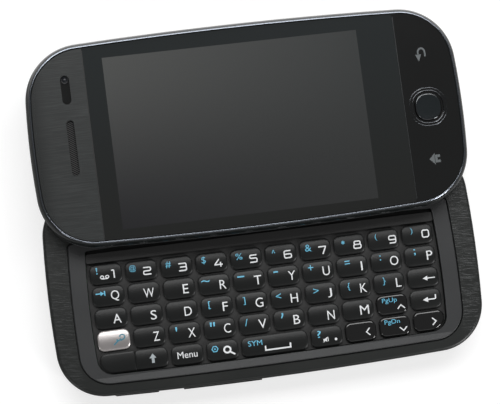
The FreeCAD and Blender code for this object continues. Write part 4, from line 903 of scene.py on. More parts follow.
@dataclass(frozen=True)
class RoundedRectangle:
    """A rectangle with its own radius at each corner: low left, low right, high right, high left."""

    x: float
    y: float
    width: float
    depth: float
    radii: tuple[float, float, float, float]

    def rings(self, insets: Sequence[float], samples: int = 8, along: int = 0) -> np.ndarray:
        """The outline drawn in by several distances.

        Each corner is a quarter circle. Its centre lies in from the corner by the inset plus the
        radius, and its radius is the corner's radius less the inset, never below a tenth or
        above what the shorter side leaves. The points along a side divide the stretch between
        two corners evenly.

        Args:
            insets: distances inwards; a negative one grows the outline.
            samples: points on each corner.
            along: points on each side, between its corners.

        Returns:
            Array of insets by points by two, anticlockwise.
        """
        inset = np.asarray(insets, float)[:, None]
        signs = np.array([(-1, -1), (1, -1), (1, 1), (-1, 1)], float)
        half = np.array([self.width, self.depth]) / 2
        radius = np.maximum(np.array(self.radii) - inset, 0.1)
        radius = np.minimum(radius, half.min() - inset)
        centre = signs * (half - inset[..., None] - radius[..., None])
        start = np.array([math.pi, 1.5 * math.pi, 0.0, 0.5 * math.pi])
        angle = start[:, None] + np.linspace(0, math.pi / 2, samples)
        points = centre[:, :, None] + radius[:, :, None, None] * directions(angle)
        share = (np.arange(1, along + 1) / (along + 1))[:, None]
        ends = points[:, :, -1:], np.roll(points, -1, axis=1)[:, :, :1]
        sides = ends[0] * (1 - share) + ends[1] * share
        points = np.concatenate([points, sides], axis=2)
        return points.reshape(len(insets), -1, 2) + np.array([self.x, self.y])

    def depth_inside(self, points: np.ndarray) -> np.ndarray:
        """Distance from points inside to the outline.

        The signed distance of a rectangle with round corners: the corner's own circle where the
        point lies beyond the circle's centre on both axes, and the nearer side elsewhere.

        Args:
            points: array of points by two.

        Returns:
            Distances, positive inside.
        """
        local = points - np.array([self.x, self.y])
        low = local[:, 1] < 0
        left = local[:, 0] < 0
        corner = np.where(low, np.where(left, 0, 1), np.where(left, 3, 2))
        radius = np.array(self.radii)[corner]
        half = np.array([self.width, self.depth]) / 2
        past = np.abs(local) - half + radius[:, None]
        outside = np.linalg.norm(np.maximum(past, 0), axis=1)
        inside = np.minimum(past.max(axis=1), 0)
        return radius - outside - inside


def stacked(outlines: np.ndarray, heights: Sequence[float]) -> np.ndarray:
    """Give each flat ring its height.

    Args:
        outlines: array of rings by points by two.
        heights: one height for each ring.

    Returns:
        Array of rings by points by three.
    """
    levels = np.asarray(heights, float)[:, None, None]
    lifted = np.broadcast_to(levels, (*outlines.shape[:2], 1))
    return np.concatenate([outlines, lifted], axis=-1)


@dataclass(frozen=True)
class BowedOutline:
    """A rectangle whose four sides bulge as arcs and whose corners are round.

    The long sides have a point at the X of the seam, on both sides of the middle.
    """

    half_x: float
    y_middle: float
    half_y: float
    end_bow: float
    side_bow: float
    corner: float
    seam: float = 39.1

    def rings(self, insets: Sequence[float]) -> np.ndarray:
        """The outline drawn in by several distances.

        The outline is eight arcs that share their tangents, so a point is its arc's centre plus
        the arc's radius less the inset along the outward direction. A corner's centre lies where
        circles about the side's and the end's centres meet, each smaller by the corner's radius.
        An arc is listed by its first and last angle, its centre, its radius and its points.

        Args:
            insets: distances inwards.

        Returns:
            Array of insets by points by two, anticlockwise from the right end.
        """
        chord_x = self.half_x - self.end_bow
        chord_y = self.half_y - self.side_bow
        end_radius = (chord_y**2 + self.end_bow**2) / (2 * self.end_bow)
        side_radius = (chord_x**2 + self.side_bow**2) / (2 * self.side_bow)
        end_centre = self.half_x - end_radius
        side_centre = self.half_y - side_radius
        reach_end = end_radius - self.corner
        reach_side = side_radius - self.corner
        gap = math.hypot(end_centre, side_centre)
        along = (reach_end**2 - reach_side**2 + gap**2) / (2 * gap)
        off = math.sqrt(reach_end**2 - along**2)
        towards = np.array([-end_centre, side_centre]) / gap
        across = np.array([-towards[1], towards[0]])
        options = [
            np.array([end_centre, 0.0]) + towards * along + across * off * sign
            for sign in (-1, 1)
        ]
        corner = max(options, key=lambda point: point[0] + point[1])
        low = math.atan2(corner[1], corner[0] - end_centre)
        high = math.atan2(corner[1] - side_centre, corner[0])
        seam = math.acos(self.seam / side_radius)
        spans = []
        for turn in range(2):
            base = turn * math.pi
            sign = 1 - 2 * turn
            side = (0.0, sign * side_centre)
            near = (sign * corner[0], sign * corner[1])
            far = (-sign * corner[0], sign * corner[1])
            spans += [
                (base - low, base + low, (sign * end_centre, 0.0), end_radius, 20),
                (base + low, base + high, near, self.corner, 30),
                (base + high, base + seam, side, side_radius, 3),
                (base + seam, base + math.pi - seam, side, side_radius, 30),
                (base + math.pi - seam, base + math.pi - high, side, side_radius, 3),
                (base + math.pi - high, base + math.pi - low, far, self.corner, 30),
            ]
        starts, ends, centres, radii, counts = zip(*spans)
        stretches = zip(starts, ends, counts)
        angle = np.concatenate([np.linspace(*stretch, endpoint=False) for stretch in stretches])
        centre = np.repeat(centres, counts, axis=0)
        radius = np.repeat(radii, counts)
        inset = np.asarray(insets, float)[:, None, None]
        flat = centre + (radius[:, None] - inset) * directions(angle)
        return flat + np.array([0.0, self.y_middle])


DISPLAY_OUTLINE = BowedOutline(
    half_x=54.5, y_middle=35.78, half_y=26.1, end_bow=1.6, side_bow=1.4, corner=14.2
)


# --- Lettering ---------------------------------------------------------------------------------
class InkColour(Enum):
    """The printing colours of the keys."""

    WHITE = 0
    BLUE = 1
    PALE = 2
    DEEP = 3


@dataclass(frozen=True)
class Mark:
    """One printed character or sign: its middle from the middle of its key, and its size."""

    sign: str
    x: float
    y: float
    width: float
    height: float
    colour: InkColour = InkColour.WHITE


Path = tuple[tuple[float, float], ...]


@dataclass(frozen=True)
class StrokeSign:
    """A sign drawn with a pen of even width in a box one unit high, and its convex fills."""

    strokes: tuple[Path, ...] = ()
    fills: tuple[Path, ...] = ()
    pen: float = 0.155
    rounding: float = 0.0
    closed: tuple[int, ...] = ()


def circle_points(
    x: float, y: float, radius: float, start: float = 0.0, end: float = 360.0, count: int = 25
) -> Path:
    """Points along an arc, angles in degrees."""
    points = np.array([x, y]) + radius * directions(np.radians(np.linspace(start, end, count)))
    return tuple(map(tuple, points.tolist()))


SIGNS: dict[str, StrokeSign] = {
    "1": StrokeSign((((-0.26, 0.42), (0.06, 0.42), (0.06, -0.5)),), rounding=0.08),
    "2": StrokeSign(
        (((-0.46, 0.42), (0.46, 0.42), (0.46, 0.0), (-0.46, 0.0), (-0.46, -0.42), (0.5, -0.42)),),
        rounding=0.2,
    ),
    "3": StrokeSign(
        (((-0.46, 0.42), (0.46, 0.42), (0.46, -0.42), (-0.46, -0.42)), ((-0.3, 0.0), (0.42, 0.0))),
        rounding=0.2,
    ),
    "4": StrokeSign(
        (((0.12, 0.5), (-0.46, -0.2), (0.5, -0.2)), ((0.26, 0.1), (0.26, -0.5))), rounding=0.05
    ),
    "5": StrokeSign(
        (((0.46, 0.42), (-0.44, 0.42), (-0.44, 0.05), (0.46, 0.05), (0.46, -0.42), (-0.46, -0.42)),),
        rounding=0.2,
    ),
    "6": StrokeSign(
        (((0.4, 0.42), (-0.46, 0.42), (-0.46, -0.42), (0.46, -0.42), (0.46, 0.03), (-0.4, 0.03)),),
        rounding=0.22,
    ),
    "7": StrokeSign((((-0.46, 0.42), (0.46, 0.42), (0.02, -0.5)),), rounding=0.12),
    "8": StrokeSign(
        (
            ((-0.38, 0.42), (0.38, 0.42), (0.38, 0.03), (-0.38, 0.03)),
            ((-0.46, 0.03), (0.46, 0.03), (0.46, -0.42), (-0.46, -0.42)),
        ),
        rounding=0.18,
        closed=(0, 1),
    ),
    "9": StrokeSign(
        (((-0.4, -0.42), (0.46, -0.42), (0.46, 0.42), (-0.46, 0.42), (-0.46, -0.03), (0.4, -0.03)),),
        rounding=0.22,
    ),
    "0": StrokeSign(
        (((-0.4, 0.42), (0.4, 0.42), (0.4, -0.42), (-0.4, -0.42)),), rounding=0.24, closed=(0,)
    ),
    "voicemail": StrokeSign(
        (
            circle_points(-0.55, 0.0, 0.33),
            circle_points(0.55, 0.0, 0.33),
            ((-0.7, -0.42), (0.7, -0.42)),
        ),
        closed=(0, 1),
        pen=0.22,
    ),
    "tab": StrokeSign(
        (((-1.0, 0.0), (0.5, 0.0)), ((0.85, 0.5), (0.85, -0.5))),
        (((0.0, 0.48), (0.0, -0.48), (0.7, 0.0)),),
        pen=0.24,
    ),
    "back": StrokeSign(
        (((-0.3, 0.0), (1.1, 0.0)),), (((-1.1, 0.0), (-0.25, 0.5), (-0.25, -0.5)),), pen=0.22
    ),
    "enter": StrokeSign(
        (((-0.35, -0.2), (1.05, -0.2), (1.05, 0.62)),),
        (((-1.1, -0.2), (-0.25, 0.3), (-0.25, -0.7)),),
        pen=0.22,
        rounding=0.2,
    ),
    "shift": StrokeSign(
        (((0.0, -0.5), (0.0, 0.1)),), (((-0.42, 0.02), (0.42, 0.02), (0.0, 0.5)),), pen=0.34
    ),
    "curl": StrokeSign(
        (
            ((-0.72, -0.74), (-0.3, -0.36)),
            ((0.02, 0.22), (0.1, 0.48), (0.5, 0.5), (0.66, 0.16), (0.46, -0.12), (0.2, -0.14)),
        ),
        (((-0.42, -0.42), (-0.34, 0.02), (0.02, -0.3)), ((-0.12, -0.2), (0.1, 0.08), (0.26, -0.32))),
        pen=0.15,
        rounding=0.25,
    ),
    "gear": StrokeSign(
        (circle_points(0.0, 0.0, 0.44, 0, 360, 7),),
        (circle_points(0.0, 0.0, 0.13, 0, 345, 24),),
        pen=0.13,
        closed=(0,),
    ),
    "glass": StrokeSign(
        (circle_points(-0.2, 0.14, 0.36), ((0.08, -0.14), (0.62, -0.5))), pen=0.2, closed=(0,)
    ),
    "bracket": StrokeSign((((-1.0, 0.22), (-1.0, -0.12), (1.0, -0.12), (1.0, 0.22)),), pen=0.12),
    "mute": StrokeSign(
        (((-0.5, -0.55), (0.5, 0.55)), ((0.5, 0.4), (0.5, -0.4))),
        (
            ((-0.5, 0.18), (-0.5, -0.18), (-0.2, -0.18), (-0.2, 0.18)),
            ((-0.2, -0.18), (0.25, -0.5), (0.25, 0.5), (-0.2, 0.18)),
        ),
        pen=0.14,
    ),
    "comma": StrokeSign(
        (), (((-0.1, 0.5), (0.3, 0.5), (0.3, 0.1), (-0.1, -0.5), (-0.3, -0.4), (-0.02, 0.1)),)
    ),
    "quotes": StrokeSign(
        (),
        (
            ((-0.55, 0.5), (-0.12, 0.5), (-0.25, -0.5), (-0.5, -0.5)),
            ((0.12, 0.5), (0.55, 0.5), (0.42, -0.5), (0.17, -0.5)),
        ),
    ),
    "*": StrokeSign(
        (((0.0, -0.5), (0.0, 0.5)), ((-0.44, -0.25), (0.44, 0.25)), ((-0.44, 0.25), (0.44, -0.25))),
        pen=0.26,
    ),
    "point": StrokeSign((), (circle_points(0.0, 0.0, 0.3, 0, 345, 24),)),
    "up": StrokeSign((((-0.75, -0.4), (0.0, 0.4), (0.75, -0.4)),), pen=0.24),
    "down": StrokeSign((((-0.75, 0.4), (0.0, -0.4), (0.75, 0.4)),), pen=0.24),
    "left": StrokeSign((((0.3, 0.5), (-0.3, 0.0), (0.3, -0.5)),), pen=0.17),
    "right": StrokeSign((((-0.3, 0.5), (0.3, 0.0), (-0.3, -0.5)),), pen=0.17),
    "home": StrokeSign(
        (),
        (
            ((-0.55, 0.0), (0.05, -0.62), (0.05, 0.62)),
            ((0.0, 0.42), (0.0, -0.42), (0.3, -0.42), (0.3, 0.42)),
            ((0.28, 0.42), (0.28, 0.14), (0.6, 0.14), (0.6, 0.42)),
            ((0.28, -0.14), (0.28, -0.42), (0.6, -0.42), (0.6, -0.14)),
        ),
    ),
    "return": StrokeSign(
        (((-0.27, -0.05), (-0.27, 0.1), *circle_points(0.0, 0.12, 0.27, 170, 0, 15), (0.28, -0.2)),),
        (((-0.5, -0.02), (-0.27, -0.5), (-0.02, -0.02)),),
        pen=0.13,
    ),
}


@dataclass
class Printer:
    """Turns marks into flat shapes; a word is typeset once and stored."""

    ribbon_step: float = 0.25
    longest_side: float = 0.5
    stored: dict[str, Shape] = field(default_factory=dict)

    def _typeset(self, text: str) -> Shape:
        """A word in the built-in typeface as a flat triangulated shape.

        Args:
            text: the word.

        Returns:
            Its triangles, in the typeface's own size.
        """
        if text in self.stored:
            return self.stored[text]
        curve = bpy.data.curves.new("lettering", "FONT")
        curve.body = text
        curve.resolution_u = 4
        holder = bpy.data.objects.new("lettering", curve)
        bpy.context.scene.collection.objects.link(holder)
        bpy.context.view_layer.update()
        dressed = holder.evaluated_get(bpy.context.evaluated_depsgraph_get())
        mesh = bpy.data.meshes.new_from_object(dressed)
        points = np.zeros(len(mesh.vertices) * 3)
        mesh.vertices.foreach_get("co", points)
        mesh.calc_loop_triangles()
        corners = np.zeros(len(mesh.loop_triangles) * 3, np.int32)
        mesh.loop_triangles.foreach_get("vertices", corners)
        bpy.data.objects.remove(holder)
        bpy.data.curves.remove(curve)
        bpy.data.meshes.remove(mesh)
        self.stored[text] = Shape(points.reshape(-1, 3), [(0, corners.reshape(-1, 3))])
        return self.stored[text]

    @staticmethod
    def _rounded(path: np.ndarray, radius: float, closed: bool) -> np.ndarray:
        """Replace each corner of a path by a short parabola.

        The parabola starts and ends a radius away from the corner along both sides, or half the
        side where that is shorter, and bends towards the corner. An open path keeps its ends.

        Args:
            path: array of points by two.
            radius: reach of a parabola along each side; 0 keeps the corners.
            closed: the path is a loop.

        Returns:
            The smoother path.
        """
        if radius <= 0:
            return path
        sides = np.stack([np.roll(path, 1, axis=0), np.roll(path, -1, axis=0)]) - path
        lengths = np.linalg.norm(sides, axis=-1, keepdims=True)
        near, far = path + sides / lengths * np.minimum(radius, lengths / 2)
        share = np.linspace(0, 1, 7)[:, None, None]
        bends = near * (1 - share) ** 2 + path * 2 * share * (1 - share) + far * share**2
        bends = bends.transpose(1, 0, 2)
        if closed:
            return bends.reshape(-1, 2)
        return np.vstack([path[:1], bends[1:-1].reshape(-1, 2), path[-1:]])

    def _ribbon(self, path: np.ndarray, width: float, closed: bool) -> Shape:
        """A flat ribbon of even width along a path.

        The path is resampled at even steps. Each step's side direction is the turn by a right
        angle of the chord between its neighbours, lengthened at bends so that the width holds.

        Args:
            path: array of points by two.
            width: the ribbon's width.
            closed: the path is a loop.

        Returns:
            The flat ribbon, facing up.
        """
        if closed:
            path = np.vstack([path, path[:1]])
        spans = np.linalg.norm(np.diff(path, axis=0), axis=1)
        keep = np.concatenate([[True], spans > 1e-6])
        path = path[keep]
        spans = spans[spans > 1e-6]
        normals = np.stack([-np.diff(path[:, 1]), np.diff(path[:, 0])], axis=-1) / spans[:, None]
        if closed:
            before = np.vstack([normals[-1:], normals])
            after = np.vstack([normals, normals[:1]])
        else:
            before = np.vstack([normals[:1], normals])
            after = np.vstack([normals, normals[-1:]])
        mean = before + after
        mean /= np.maximum(np.linalg.norm(mean, axis=1), 1e-6)[:, None]
        stretch = np.clip(1 / np.maximum((mean * after).sum(axis=1), 0.3), 1, 1.8)[:, None]
        left = path + mean * stretch * width / 2
        right = path - mean * stretch * width / 2
        length = np.concatenate([[0], np.cumsum(spans)])
        count = max(2, int(length[-1] / self.ribbon_step))
        steps = np.unique(np.concatenate([length, np.linspace(0, length[-1], count)]))
        sides = [
            np.stack([np.interp(steps, length, side[:, axis]) for axis in (0, 1)], axis=-1)
            for side in (right, left)
        ]
        flat = np.stack(sides, axis=1).reshape(-1, 2)
        points = np.concatenate([flat, np.zeros((len(flat), 1))], axis=1)
        corner = np.arange(len(steps) - 1) * 2
        quads = np.stack([corner, corner + 2, corner + 3, corner + 1], axis=-1)
        return Shape(points, [(0, quads)])

    def _finer(self, flat: Shape) -> Shape:
        """Split every triangle at its sides' middles until no side is longer than the limit.

        Args:
            flat: triangles and quads.

        Returns:
            Small triangles over the same area.
        """
        points = flat.points
        thirds = [
            faces if faces.shape[1] == 3 else np.vstack([faces[:, [0, 1, 2]], faces[:, [0, 2, 3]]])
            for _, faces in flat.faces
        ]
        faces = np.concatenate(thirds)
        while True:
            spans = points[faces] - points[np.roll(faces, 1, axis=1)]
            if np.linalg.norm(spans, axis=-1).max() <= self.longest_side:
                return Shape(points, [(0, faces)])
            sides = np.sort(np.stack([faces, np.roll(faces, -1, axis=1)], axis=-1), axis=-1)
            unique, place = np.unique(sides.reshape(-1, 2), axis=0, return_inverse=True)
            middle = place.reshape(-1, 3) + len(points)
            points = np.vstack([points, points[unique].mean(axis=1)])
            a, b, c = faces.T
            ab, bc, ca = middle.T
            quarters = [(a, ab, ca), (ab, b, bc), (ca, bc, c), (ab, bc, ca)]
            faces = np.concatenate([np.stack(corners, axis=-1) for corners in quarters])

    def flat(self, mark: Mark) -> Shape:
        """A mark as a flat shape about its own middle, stretched to its width and height.

        Args:
            mark: the mark.

        Returns:
            The flat shape, facing up.
        """
        sign = SIGNS.get(mark.sign)
        if sign is None:
            shape = self._typeset(mark.sign)
        else:
            shapes = []
            for number, stroke in enumerate(sign.strokes):
                closed = number in sign.closed
                path = np.array(stroke, float)
                if closed and np.allclose(path[0], path[-1]):
                    path = path[:-1]
                path = self._rounded(path, sign.rounding, closed)
                shapes.append(self._ribbon(path, sign.pen, closed))
            shapes += [filled(np.array(fill, float)) for fill in sign.fills]
            shape = joined(shapes)
        low, high = shape.points.min(axis=0), shape.points.max(axis=0)
        span = (high - low)[:2]
        points = shape.points - (low + high) / 2
        points[:, :2] *= np.array([mark.width, mark.height]) / span
        return self._finer(Shape(points, shape.faces))


# --- Keyboard ----------------------------------------------------------------------------------
@dataclass(frozen=True)
class Key:
    """One key: its node, its row, its first and last column and its marks."""

    node: str
    row: int
    first: int
    last: int
    marks: tuple[Mark, ...]


def key(node: str, row: int, columns: Union[int, tuple[int, int]], *marks: Mark) -> Key:
    """A key that covers one column, or the columns from a first to a last."""
    first, last = (columns, columns) if isinstance(columns, int) else columns
    return Key(node, row, first, last, marks)


BLUE, PALE, DEEP = InkColour.BLUE, InkColour.PALE, InkColour.DEEP

KEY_TABLE: tuple[Key, ...] = (
    key("number_keys", 0, 0, Mark("1", 1.8, -0.2, 0.8, 2.1), Mark("!", -2.15, 0.95, 0.4, 1.7, BLUE),
        Mark("voicemail", -0.35, -0.8, 2.3, 1.0)),
    key("number_keys", 0, 1, Mark("2", 1.45, -0.33, 2.1, 2.05), Mark("@", -2.1, 0.65, 1.65, 1.7, BLUE)),
    key("number_keys", 0, 2, Mark("3", 1.57, -0.33, 2.05, 2.1), Mark("#", -2.0, 0.65, 1.35, 1.65, BLUE)),
    key("number_keys", 0, 3, Mark("4", 1.68, -0.32, 2.15, 2.05), Mark("$", -1.9, 0.7, 1.05, 1.9, BLUE)),
    key("number_keys", 0, 4, Mark("5", 1.78, -0.33, 2.05, 2.1), Mark("%", -1.78, 0.62, 1.75, 1.55, BLUE)),
    key("number_keys", 0, 5, Mark("6", 1.73, -0.33, 2.1, 2.1), Mark("^", -1.85, 0.78, 0.85, 0.9, BLUE)),
    key("number_keys", 0, 6, Mark("7", 1.8, -0.45, 2.0, 2.1), Mark("&", -1.8, 0.5, 1.6, 1.75, BLUE)),
    key("number_keys", 0, 7, Mark("8", 1.98, -0.3, 2.15, 2.1), Mark("*", -1.6, 0.66, 0.85, 0.9, BLUE)),
    key("number_keys", 0, 8, Mark("9", 2.25, -0.25, 2.05, 2.1), Mark("(", -1.88, 0.78, 0.5, 1.7, BLUE)),
    key("number_keys", 0, 9, Mark("0", 2.1, -0.05, 2.0, 2.1), Mark(")", -1.38, 0.95, 0.5, 1.7, BLUE)),
    key("key_q", 1, 0, Mark("Q", 1.65, -0.13, 2.05, 2.65), Mark("tab", -1.9, 0.76, 2.4, 1.15, BLUE)),
    key("key_w", 1, 1, Mark("W", 1.22, -0.28, 2.6, 2.25)),
    key("key_e", 1, 2, Mark("E", 1.6, -0.28, 1.4, 2.3)),
    key("key_r", 1, 3, Mark("R", 2.15, -0.28, 1.65, 2.25), Mark("~", -2.07, 1.04, 2.1, 0.55, BLUE)),
    key("key_t", 1, 4, Mark("T", 2.2, -0.23, 1.85, 2.25), Mark("-", -1.98, 1.08, 1.8, 0.34, BLUE)),
    key("key_y", 1, 5, Mark("Y", 2.03, -0.2, 1.85, 2.25), Mark("-", -1.9, 1.15, 1.15, 0.36, BLUE)),
    key("key_u", 1, 6, Mark("U", 2.05, -0.2, 1.8, 2.3), Mark("+", -1.8, 1.05, 1.35, 1.35, BLUE)),
    key("key_i", 1, 7, Mark("I", 2.38, -0.23, 0.42, 2.25), Mark("=", -1.2, 1.05, 1.3, 0.9, BLUE)),
    key("key_o", 1, 8, Mark("O", 2.0, -0.1, 2.15, 2.35), Mark(":", -1.45, 0.95, 0.38, 1.3, BLUE)),
    key("key_p", 1, 9, Mark("P", 2.42, -0.08, 1.55, 2.3), Mark(";", -1.3, 1.05, 0.5, 1.65, BLUE)),
    key("key_a", 2, 0, Mark("A", 1.48, -0.28, 2.05, 2.25)),
    key("key_s", 2, 1, Mark("S", 1.7, -0.35, 1.5, 2.3)),
    key("key_d", 2, 2, Mark("D", 1.5, -0.35, 1.85, 2.25)),
    key("key_f", 2, 3, Mark("F", 2.03, -0.28, 1.3, 2.25), Mark("[", -1.85, 0.5, 0.55, 1.95, BLUE)),
    key("key_g", 2, 4, Mark("G", 1.85, -0.35, 1.95, 2.35), Mark("]", -1.87, 0.45, 0.55, 1.95, BLUE)),
    key("key_h", 2, 5, Mark("H", 1.93, -0.35, 1.85, 2.25), Mark("<", -2.0, 0.57, 1.35, 1.25, BLUE)),
    key("key_j", 2, 6, Mark("J", 2.23, -0.3, 1.05, 2.3), Mark(">", -1.23, 0.63, 1.35, 1.25, BLUE)),
    key("key_k", 2, 7, Mark("K", 2.1, -0.25, 1.7, 2.25), Mark("{", -1.62, 0.45, 0.65, 1.95, BLUE)),
    key("key_l", 2, 8, Mark("L", 2.38, -0.2, 1.35, 2.25), Mark("}", -1.25, 0.5, 0.65, 1.95, BLUE)),
    key("command_keys", 2, 9, Mark("back", 1.42, -0.3, 3.2, 1.2)),
    key("command_keys", 3, 0, Mark("curl", 1.35, 0.0, 3.1, 2.6, DEEP)),
    key("key_z", 3, 1, Mark("Z", 1.75, -0.15, 1.5, 2.3)),
    key("key_x", 3, 2, Mark("X", 1.75, -0.22, 1.8, 2.3), Mark("'", -2.0, 1.02, 0.45, 1.1, BLUE)),
    key("key_c", 3, 3, Mark("C", 1.88, -0.2, 1.7, 2.35), Mark("quotes", -1.7, 1.17, 1.35, 1.05, BLUE)),
    key("key_v", 3, 4, Mark("V", 1.95, -0.2, 2.0, 2.25), Mark("/", -2.05, 0.6, 0.8, 1.8, BLUE)),
    key("key_b", 3, 5, Mark("B", 1.85, -0.25, 1.65, 2.3), Mark("comma", -1.73, 1.1, 0.7, 1.35, BLUE)),
    key("key_n", 3, 6, Mark("N", 1.8, -0.33, 1.85, 2.3)),
    key("key_m", 3, 7, Mark("M", 1.62, -0.25, 2.3, 2.3)),
    key("arrow_keys", 3, 8, Mark("up", 2.18, -0.78, 2.1, 1.2), Mark("PgUp", -0.6, 0.98, 3.8, 1.45, BLUE)),
    key("command_keys", 3, 9, Mark("enter", 0.92, 0.05, 3.5, 1.75)),
    key("command_keys", 4, (0, 1), Mark("shift", 4.62, -0.02, 1.7, 2.35, PALE)),
    key("command_keys", 4, 2, Mark("Menu", -0.02, 0.02, 5.0, 1.65)),
    key("command_keys", 4, 3, Mark("gear", -1.88, 0.53, 1.75, 1.5, BLUE),
        Mark("glass", 1.65, -0.25, 3.0, 2.5)),
    key("command_keys", 4, (4, 5), Mark("SYM", -4.95, 0.75, 3.6, 1.3, BLUE),
        Mark("bracket", 0.69, -0.88, 6.7, 1.3)),
    key("command_keys", 4, 6, Mark("?", -1.85, 0.75, 0.95, 1.75, BLUE),
        Mark("mute", -0.35, -0.78, 1.4, 1.35),
        Mark("point", 2.23, -0.95, 0.66, 0.66)),
    key("arrow_keys", 4, 7, Mark("left", 1.73, -0.3, 1.2, 2.05)),
    key("arrow_keys", 4, 8, Mark("down", 2.07, -0.93, 2.1, 1.2),
        Mark("PgDn", -0.62, 1.05, 3.95, 1.4, BLUE)),
    key("arrow_keys", 4, 9, Mark("right", 1.38, -0.27, 1.25, 2.05)),
)


@dataclass(frozen=True)
class KeyCap:
    """One key: a pillow on a straight rim, with the stem that presses its dome."""

    x: float
    y: float
    width: float
    depth: float
    radii: tuple[float, float, float, float]
    base: float = 7.9
    top: float = 8.6
    across: float = 0.4
    along: float = 0.1
    end_reach: float = 4.0
    rim: float = 0.13
    rim_width: float = 0.5
    rim_power: float = 2.4
    crown_rings: int = 15
    crown_gap: float = 0.06
    edge: float = 0.05
    edge_rise: float = 0.03
    stem_width: float = 3.0
    stem_depth: float = 2.0
    stem_corner: float = 0.12
    stem_base: float = 6.95
    stem_shift: float = 0.0
    samples: tuple[int, int] = (8, 9)

    def outline(self) -> RoundedRectangle:
        """The cap's outline."""
        return RoundedRectangle(self.x, self.y, self.width, self.depth, self.radii)

    def height(self, points: np.ndarray) -> np.ndarray:
        """Height of the pillow at points inside its outline.

        From the top it falls with the square of the way to the long sides, with the fourth power
        of the way to the nearer end, and once more, quickly, within the rim's width.

        Args:
            points: array of points by two.

        Returns:
            The heights.
        """
        local = np.abs(points - np.array([self.x, self.y]))
        way = local[:, 1] / (self.depth / 2)
        end = np.maximum(local[:, 0] - self.width / 2 + self.end_reach, 0.0) / self.end_reach
        inset = np.clip(self.outline().depth_inside(points) / self.rim_width, 0.0, 1.0)
        edge = self.rim * (1 - inset) ** self.rim_power
        return self.top - (self.across * way**2 + self.along * end**4 + edge)

    def shape(self) -> Shape:
        """The closed surface: stem, underside, rim and crown, one ring after another.

        Returns:
            The whole key.
        """
        stem_x, radii = self.x + self.stem_shift, (self.stem_corner,) * 4
        stem = RoundedRectangle(stem_x, self.y, self.stem_width, self.stem_depth, radii)
        turn = np.linspace(0.0, math.pi / 2, self.crown_rings)
        insets = (1 - np.cos(turn)) * (self.depth / 2 - self.crown_gap)
        crown = self.outline().rings(insets, *self.samples)
        heights = self.height(crown.reshape(-1, 2)).reshape(*crown.shape[:2], 1)
        under = self.outline().rings([self.edge, 0.0], *self.samples)
        rings = [
            stacked(stem.rings([0.0, 0.0], *self.samples), [self.stem_base, self.base]),
            stacked(under, [self.base, self.base + self.edge_rise]),
            np.concatenate([crown, heights], axis=-1),
        ]
        return loft(np.concatenate(rings), start_pole=True, end_pole=True)


